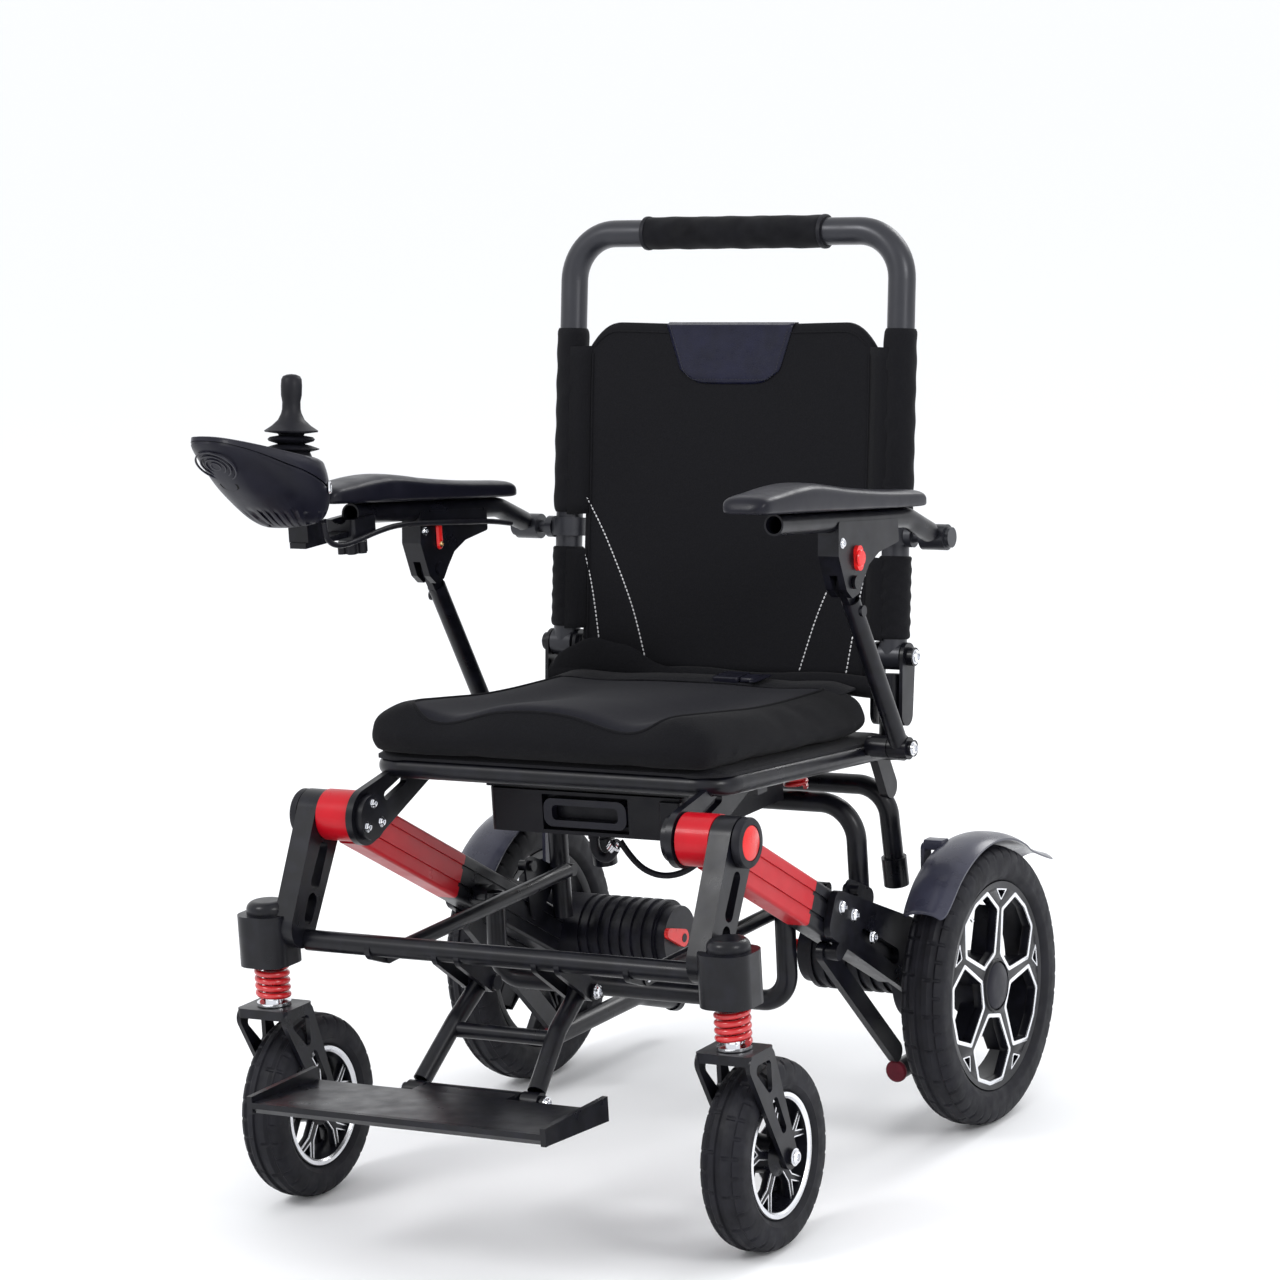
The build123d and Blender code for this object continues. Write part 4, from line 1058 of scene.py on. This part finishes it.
STICK_TILT = math.radians(7.5)
stick_axis = Vector((0, math.sin(STICK_TILT), math.cos(STICK_TILT)))
stick_root = Vector((POD_X, -454, 780 - 8))
boot = [(11, -4), (23, 4), (24, 5.5), (23.5, 11), (22, 14), (21, 16), (31, 18.2), (31.5, 19.2), (22, 22),
        (15, 23.5), (25, 26), (26.5, 28), (24, 30), (14, 31.5), (15, 33), (29.5, 34.6), (30, 36), (22, 40.5),
        (15, 46), (11.5, 52), (10.4, 56), (10.2, 63), (11.6, 69), (11.9, 78), (11.4, 84), (9.5, 87),
        (5, 88.5), (0, 89)]
stick = piece("stick_grip", *turned(stick_root, stick_axis, [(r * 0.93, h * 1.1) for r, h in boot], 48),
              "grip_rubber", "stick", 50)
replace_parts(stick, "joystick")


# ---------------------------------------------------------------- leads
def spline_cord(name, points, diameter, coat):
    """A cord on one NURBS curve through its control points, in mm."""
    curve = bpy.data.curves.new(name, "CURVE")
    curve.dimensions = "3D"
    curve.bevel_depth, curve.bevel_resolution = diameter / 2 * MM, 4
    curve.use_fill_caps = True
    curve.resolution_u = 12
    spline = curve.splines.new("NURBS")
    spline.points.add(len(points) - 1)
    for point, place in zip(spline.points, points):
        point.co = (*pos(*place), 1)
    spline.order_u = 3
    spline.use_endpoint_u = True
    obj = bpy.data.objects.new(name, curve)
    bpy.context.collection.objects.link(obj)
    curve.materials.append(FINISHES[coat].material)
    return obj


BATTERY_ROUTE = [(-22, -226, 342), (-8, -223, 318), (16, -218, 304), (42, -212, 306),
                 (66, -206, 322), (84, -200, 346), (94, -197, 367)]
battery_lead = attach(spline_cord("battery_lead", BATTERY_ROUTE, 7, "cable"), "seat")
relief_profile = [(0, 372), (8, 372)]
for k in range(6):
    relief_profile += [(8, 370 - 4 * k), (8, 368.4 - 4 * k), (6.3, 367.8 - 4 * k), (6.3, 366.4 - 4 * k)]
relief_profile += [(6.2, 344), (0, 344)]
relief = piece("lead_relief", *turned((-52, -230, 0), (0, 0, 1), relief_profile, 32), "cable", "seat")
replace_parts(relief, "battery_cable")
ELBOW_ROUTE = [(-52, -230, 346), (-51.5, -229.6, 334), (-47, -228.5, 325), (-38, -227.3, 323),
               (-31, -226.4, 330), (-27, -226, 338)]
COUPLING = [(0, 0), (5.8, 0), (6.6, 1), (6.6, 5), (7.4, 6), (7.4, 9), (6, 10), (4.2, 14), (0, 14)]
piece("lead_elbow", *path_tube(smooth_path(ELBOW_ROUTE, 8), 5.4, 20), "cable", "seat", 60)
piece("lead_coupling", *turned((-34, -226.4, 331), (0.55, 0.05, 0.6), COUPLING, 32), "chrome", "seat")

CONTROL_ROUTE = [(-230, -437, 713.2), (-230, -436, 701), (-230, -427, 690), (-229.5, -408, 684.5),
                 (-229, -380, 685.5), (-229, -345, 689), (-231, -300, 690), (-234, -250, 684),
                 (-235.5, -200, 677), (-235, -150, 670), (-234, -105, 664), (-233, -70, 656)]
guide = spline_cord("control_guide", CONTROL_ROUTE, 0, "cable")
guide.data.bevel_depth = 0
bpy.context.view_layer.update()
line = bpy.data.meshes.new_from_object(guide.evaluated_get(bpy.context.evaluated_depsgraph_get()))
line_points = [Vector(v.co) for v in line.vertices]
bpy.data.objects.remove(guide)
in_mm = [(p.x / MM, p.y / MM - AXLE_Y, p.z / MM) for p in line_points]
control_lead = piece("control_lead", *path_tube(in_mm, 3.0, 14), "cable", None, 60)
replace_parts(control_lead, "controller_cable")
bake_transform(control_lead)


# ---------------------------------------------------------------- seat sling and belt
def rail_z(y):
    """Height of the seat rails, which slope."""
    return 451.0 - 0.0934 * (y + 404.0)


SLING_ROWS, SLING_COLUMNS, SLING_LIFT = 40, 48, (14.7, 17.7)


def sling_point(layer, i, j):
    """The fabric sags a little between the rails and wraps over them."""
    u, v = i / SLING_COLUMNS, j / SLING_ROWS
    y = -414 + 364 * v
    half = 182 + math.sqrt(max(900 - max(-384 - y, 0) ** 2, 0))
    x = half * (2 * u - 1)
    sag = 0.8 * math.sin(math.pi * u) * math.sin(math.pi * v)
    wrap = 5.5 * (max(abs(x) + 212 - half - 198, 0) / 14) ** 2 + 5.5 * (max(-402 - y, 0) / 12) ** 2
    return (x, y, rail_z(y) + SLING_LIFT[layer] - sag - min(wrap, 6.5))


sling_shape = double_grid(SLING_COLUMNS, SLING_ROWS, sling_point)
sling = piece("seat_deck_cloth", *sling_shape, "webbing", "seat", 50)
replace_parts(sling, "seat_sling")


STRAP_SECTION = ((-1, -0.5), (-0.96, -1), (0.96, -1), (1, -0.5), (1, 0.5), (0.96, 1), (-0.96, 1), (-1, 0.5))


def strap(name, points, width, thick, coat, body):
    """Flat webbing along points, facing up."""
    loops = []
    points = [Vector(p) for p in points]
    for i, here in enumerate(points):
        w = (points[min(i + 1, len(points) - 1)] - points[max(i - 1, 0)]).normalized()
        face = Vector((0, 0, 1))
        face = (face - w * face.dot(w)).normalized()
        across = w.cross(face)
        loops.append([here + across * (a * width / 2) + face * (b * thick / 2) for a, b in STRAP_SECTION])
    return piece(name, *loft(loops), coat, body, 50)


def over_cushion(x, y, lift):
    """The point lift above the cushion's top at x, y."""
    found = hits(cushion, [((x, y, 640), (0, 0, -1))])
    return Vector((x, y, found[0][0].z + lift)) if found else Vector((x, y, 480 + lift))


belt_line = [over_cushion(-200 + 8 * k, -80 - 6 * math.sin(math.pi * k / 50) + 2 * math.sin(k / 5), 2.2)
             for k in range(51)]
belt = strap("lap_belt", smooth_path(belt_line[::3], 4), 38, 2.2, "webbing", "seat")
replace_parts(belt, "seat_belt")
BUCKLE_BLOCKS = ((2.5, 9, 17, -26, 6), (3.5, 8, 13, 6, 26), (4.5, 7, 21, 22, 30))
buckle = Batch()
seat_at = over_cushion(56, -86, 0)
for low, high, half, x_low, x_high in BUCKLE_BLOCKS:
    corners = rounded([(x_low, -half), (x_high, -half), (x_high, half), (x_low, half)], 5)
    buckle.add(loft([[Vector((seat_at.x + u * s, seat_at.y + v * s, seat_at.z + h)) for u, v in corners]
                     for h, s in ((low, 0.96), (low + 1, 1), (high - 1.2, 1), (high, 0.93))]))
buckle.make("belt_buckle", "deck_plastic", "seat")
PAD_CREST = [(-207, 486), (-196, 506), (-172, 519), (-140, 525), (-108, 518), (-72, 503), (-38, 492),
             (-16, 486)]
pad_loops = []
for k in range(49):
    x = -207 + 191 * k / 48
    crest = interpolate(x, PAD_CREST) + 1.5 * math.sin(x / 9)
    fat = 7 * math.sin(math.pi * (k + 1) / 50) ** 0.5 + 1
    lean = (crest - 480) * 0.12
    pad_loops.append([(x, -50 + lean + fat * math.cos(a) * (1 - 0.45 * math.sin(a)),
                       (crest + 478) / 2 + (crest - 478) / 2 * math.sin(a))
                      for a in (TAU * m / 20 for m in range(20))])
belt_pad = piece("belt_pad", *loft(pad_loops), "knit", "seat", 60)
roll_path = [(-206 + 8 * k, -41 - 2 * math.sin(k / 4), 484 + 1.5 * math.sin(k / 3)) for k in range(52)]
belt_roll = piece("belt_roll", *path_tube(roll_path, 11.5, 20), "knit", "seat", 60)


# ---------------------------------------------------------------- fenders
FENDER_R = 165
FENDER_STAY = [(-41, 181), (-19, 181), (-13, 312), (-31, 312)]
FENDER_TAB = [(-30, 305), (-14, 305), (-14, 316), (-30, 316)]


def fender(side, sign):
    """Domed guard over the rear wheel, flaring off it at both ends, with its stay."""
    arc = [(FENDER_R * math.cos(a), REAR_R + FENDER_R * math.sin(a))
           for a in (math.radians(degrees) for degrees in range(54, 131, 6))]
    line = [(162, 262), (134, 271), *arc, (-122, 264.5), (-129, 261)]
    path = smooth_path([Vector((0, y, z)) for y, z in line], 4)
    shell = []
    for i, here in enumerate(path):
        t = i / (len(path) - 1)
        along = (path[min(i + 1, len(path) - 1)] - path[max(i - 1, 0)]).normalized()
        normal = Vector((0, along.z, -along.y))
        half = 27 * (1 - 0.3 * max(1 - t * 6, 0) ** 2 - 0.25 * max(t * 8 - 7, 0) ** 2)
        outer, inner = [], []
        for k in range(17):
            u = k / 8 - 1
            dome = normal * (-6 * abs(u) ** 2.6)
            point = here + dome + Vector((sign * (284 + half * u), 0, 0))
            outer.append(point + normal)
            inner.append(point - normal)
        shell.append(outer + inner[::-1])
    guard = Batch().add(loft(shell))
    for shape, ends in ((rounded(FENDER_STAY, 7), (237, 241)), (rounded(FENDER_TAB, 2), (240.5, 262))):
        guard.add(loft([[(sign * x, y, z) for y, z in shape] for x in ends]))
    obj = guard.make(f"fender_{side}", "slate_plastic", "rear_frame", 40)
    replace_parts(obj, "fenders")


for side, sign in SIDES:
    fender(side, sign)


# ---------------------------------------------------------------- fasteners and fittings
SCREW_HEAD = [(0, 0), (1.25, 0), (1.25, 0.18), (1, 0.2), (1, 0.6), (0.82, 0.9), (0.5, 1), (0.46, 0.45),
              (0, 0.45)]
NUT = [(0, 0), (0.94, 0), (1, 0.12), (1, 0.8), (0.9, 1), (0.5, 1), (0.48, 1.3), (0, 1.35)]


def screw(at, axis, radius=6.5, height=4.0):
    """A domed socket screw head on its washer."""
    return turned(at, axis, [(r * radius, h * height) for r, h in SCREW_HEAD], 18)


def nut(at, axis, radius=7.0, height=5.0):
    """A hexagon nut with the bolt's end in it."""
    return turned(at, axis, [(r * radius, h * height) for r, h in NUT], 6)


BEAM_ANGLE = math.atan2(REAR_R - PIVOT_Z, -PIVOT_Y)


def beam_point(along, up):
    """Where a point on the rear beam lies, (y, z), measured from the front pivot."""
    return (PIVOT_Y + along * math.cos(BEAM_ANGLE) - up * math.sin(BEAM_ANGLE),
            PIVOT_Z + along * math.sin(BEAM_ANGLE) + up * math.cos(BEAM_ANGLE))


fasteners = {}


def add_fastener(body, shape):
    fasteners.setdefault(body, Batch()).add(shape)


PIVOT_DISC = [(0, -0.5), (17.5, -0.5), (17.5, 0.8), (16, 1.6), (0, 2.0)]
PIVOT_RING = [(23, 0), (25.4, 0.4), (25.6, 7), (24.4, 8.8), (18.2, 9.4), (17.8, 8), (23, 0)]
RELEASE_CAP = [(0, 0), (8.4, 0), (8.8, 1.4), (7.6, 2.6), (0, 3.0)]
ANTI_TIP_PLUG = [(0, 3.4), (11.6, 3.4), (12.2, 4.2), (12.2, 7), (10.4, 8.8), (0, 9.6)]


def lever_radius(t):
    """The latch lever is a bar with rounded ends."""
    return 5.6 * math.sqrt(max(1 - (max(abs(2 * t - 1) - 0.63, 0) / 0.37) ** 2, 0.01))


for side, sign in SIDES:
    out, inward = (sign, 0, 0), (-sign, 0, 0)
    for along, up in ((270, 10), (300, 10), (350, 0)):
        y, z = beam_point(along, up)
        add_fastener("rear_frame", screw((sign * 237, y, z), out, 6.0, 4.5))
    for y, z in ((0, 116), (-5, 190), (20, 160)):
        add_fastener("rear_frame", screw((sign * 237, y, z), out, 5, 4))
    for k in range(3):
        a = math.radians(90 + 120 * k)
        at = (sign * 178, PIVOT_Y + 15 * math.cos(a), PIVOT_Z + 15 * math.sin(a))
        add_fastener("seat", screw(at, inward, 4.6, 3.2))
    for y, z in ((-360, 446), (-332, 441)):
        add_fastener("seat", screw((sign * 186, y, z), inward, 4.2, 3))
        add_fastener("seat", nut((sign * 194, y, z), out, 4.2, 2.6))
    add_fastener("seat", screw((sign * 232, -12, 513), out, 6.5, 4))
    add_fastener(f"strut_{side}", screw((sign * 269, -100, 432), out, 6, 3.5))
    add_fastener(f"stem_{side}", screw((sign * 309, CASTER_Y, CASTER_R), out, 7.2, 4.0))
    add_fastener(f"stem_{side}", nut((sign * 239, CASTER_Y, CASTER_R), inward, 7.2, 3.6))
    add_fastener("front_frame", screw((sign * 80, PIVOT_Y, 243), out, 6.4, 3.6))
    add_fastener("foot_board", screw((sign * 84, -574, 157), out, 6.4, 3.6))
    add_fastener("front_frame", screw((sign * 157, -486, 272), out, 6, 3.4))
    disc = turned((sign * 267, PIVOT_Y, PIVOT_Z), out, PIVOT_DISC, 48)
    piece(f"pivot_disc_{side}", *disc, "red_part", "seat")
    ring = turned((sign * 259, PIVOT_Y, PIVOT_Z), out, PIVOT_RING, 56)
    piece(f"pivot_ring_{side}", *ring, "grip_rubber", "seat")
    add_fastener(f"bracket_{side}", screw((sign * 266, -230, 672), out, 4.4, 2.4))
    add_fastener(f"bracket_{side}", screw((sign * 242, -230, 672), inward, 4.4, 2.4))
    lever = path_tube([(sign * 240.8, -204, 678 - 30 * k / 24) for k in range(25)], lever_radius, 20,
                      False, 0.42, (0, 1, 0))
    piece(f"latch_lever_{side}", *lever, "red_part", f"bracket_{side}")
    rivet = screw((sign * 238.8, -204, 654), inward, 2.8, 1.8)
    piece(f"latch_rivet_{side}", *rivet, "brass", f"bracket_{side}")
    cap = turned((sign * 269.5, -200, 652), out, RELEASE_CAP, 36)
    piece(f"release_cap_{side}", *cap, "red_part", f"release_{side}")
    plug = turned((sign * 218, -70, 69), (0, -1, 0), ANTI_TIP_PLUG, 32)
    piece(f"anti_tip_plug_{side}", *plug, "dark_red", "rear_frame")

for body, batch in fasteners.items():
    batch.make(f"fasteners_{body}", "chrome", body, 30)


# ---------------------------------------------------------------- floor
floor_mesh = bpy.data.meshes.new("floor")
reach = 90.0
corners = [(x * reach, y * reach, 0) for x, y in ((-1, -1), (1, -1), (1, 1), (-1, 1))]
floor_mesh.from_pydata(corners, [], [(0, 1, 2, 3)])
floor = bpy.data.objects.new("floor", floor_mesh)
bpy.context.collection.objects.link(floor)
paper = Finish("floor_paper", (0.93, 0.935, 0.945), 0.8)
floor_mesh.materials.append(paper.material)
floor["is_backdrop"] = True

low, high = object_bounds()
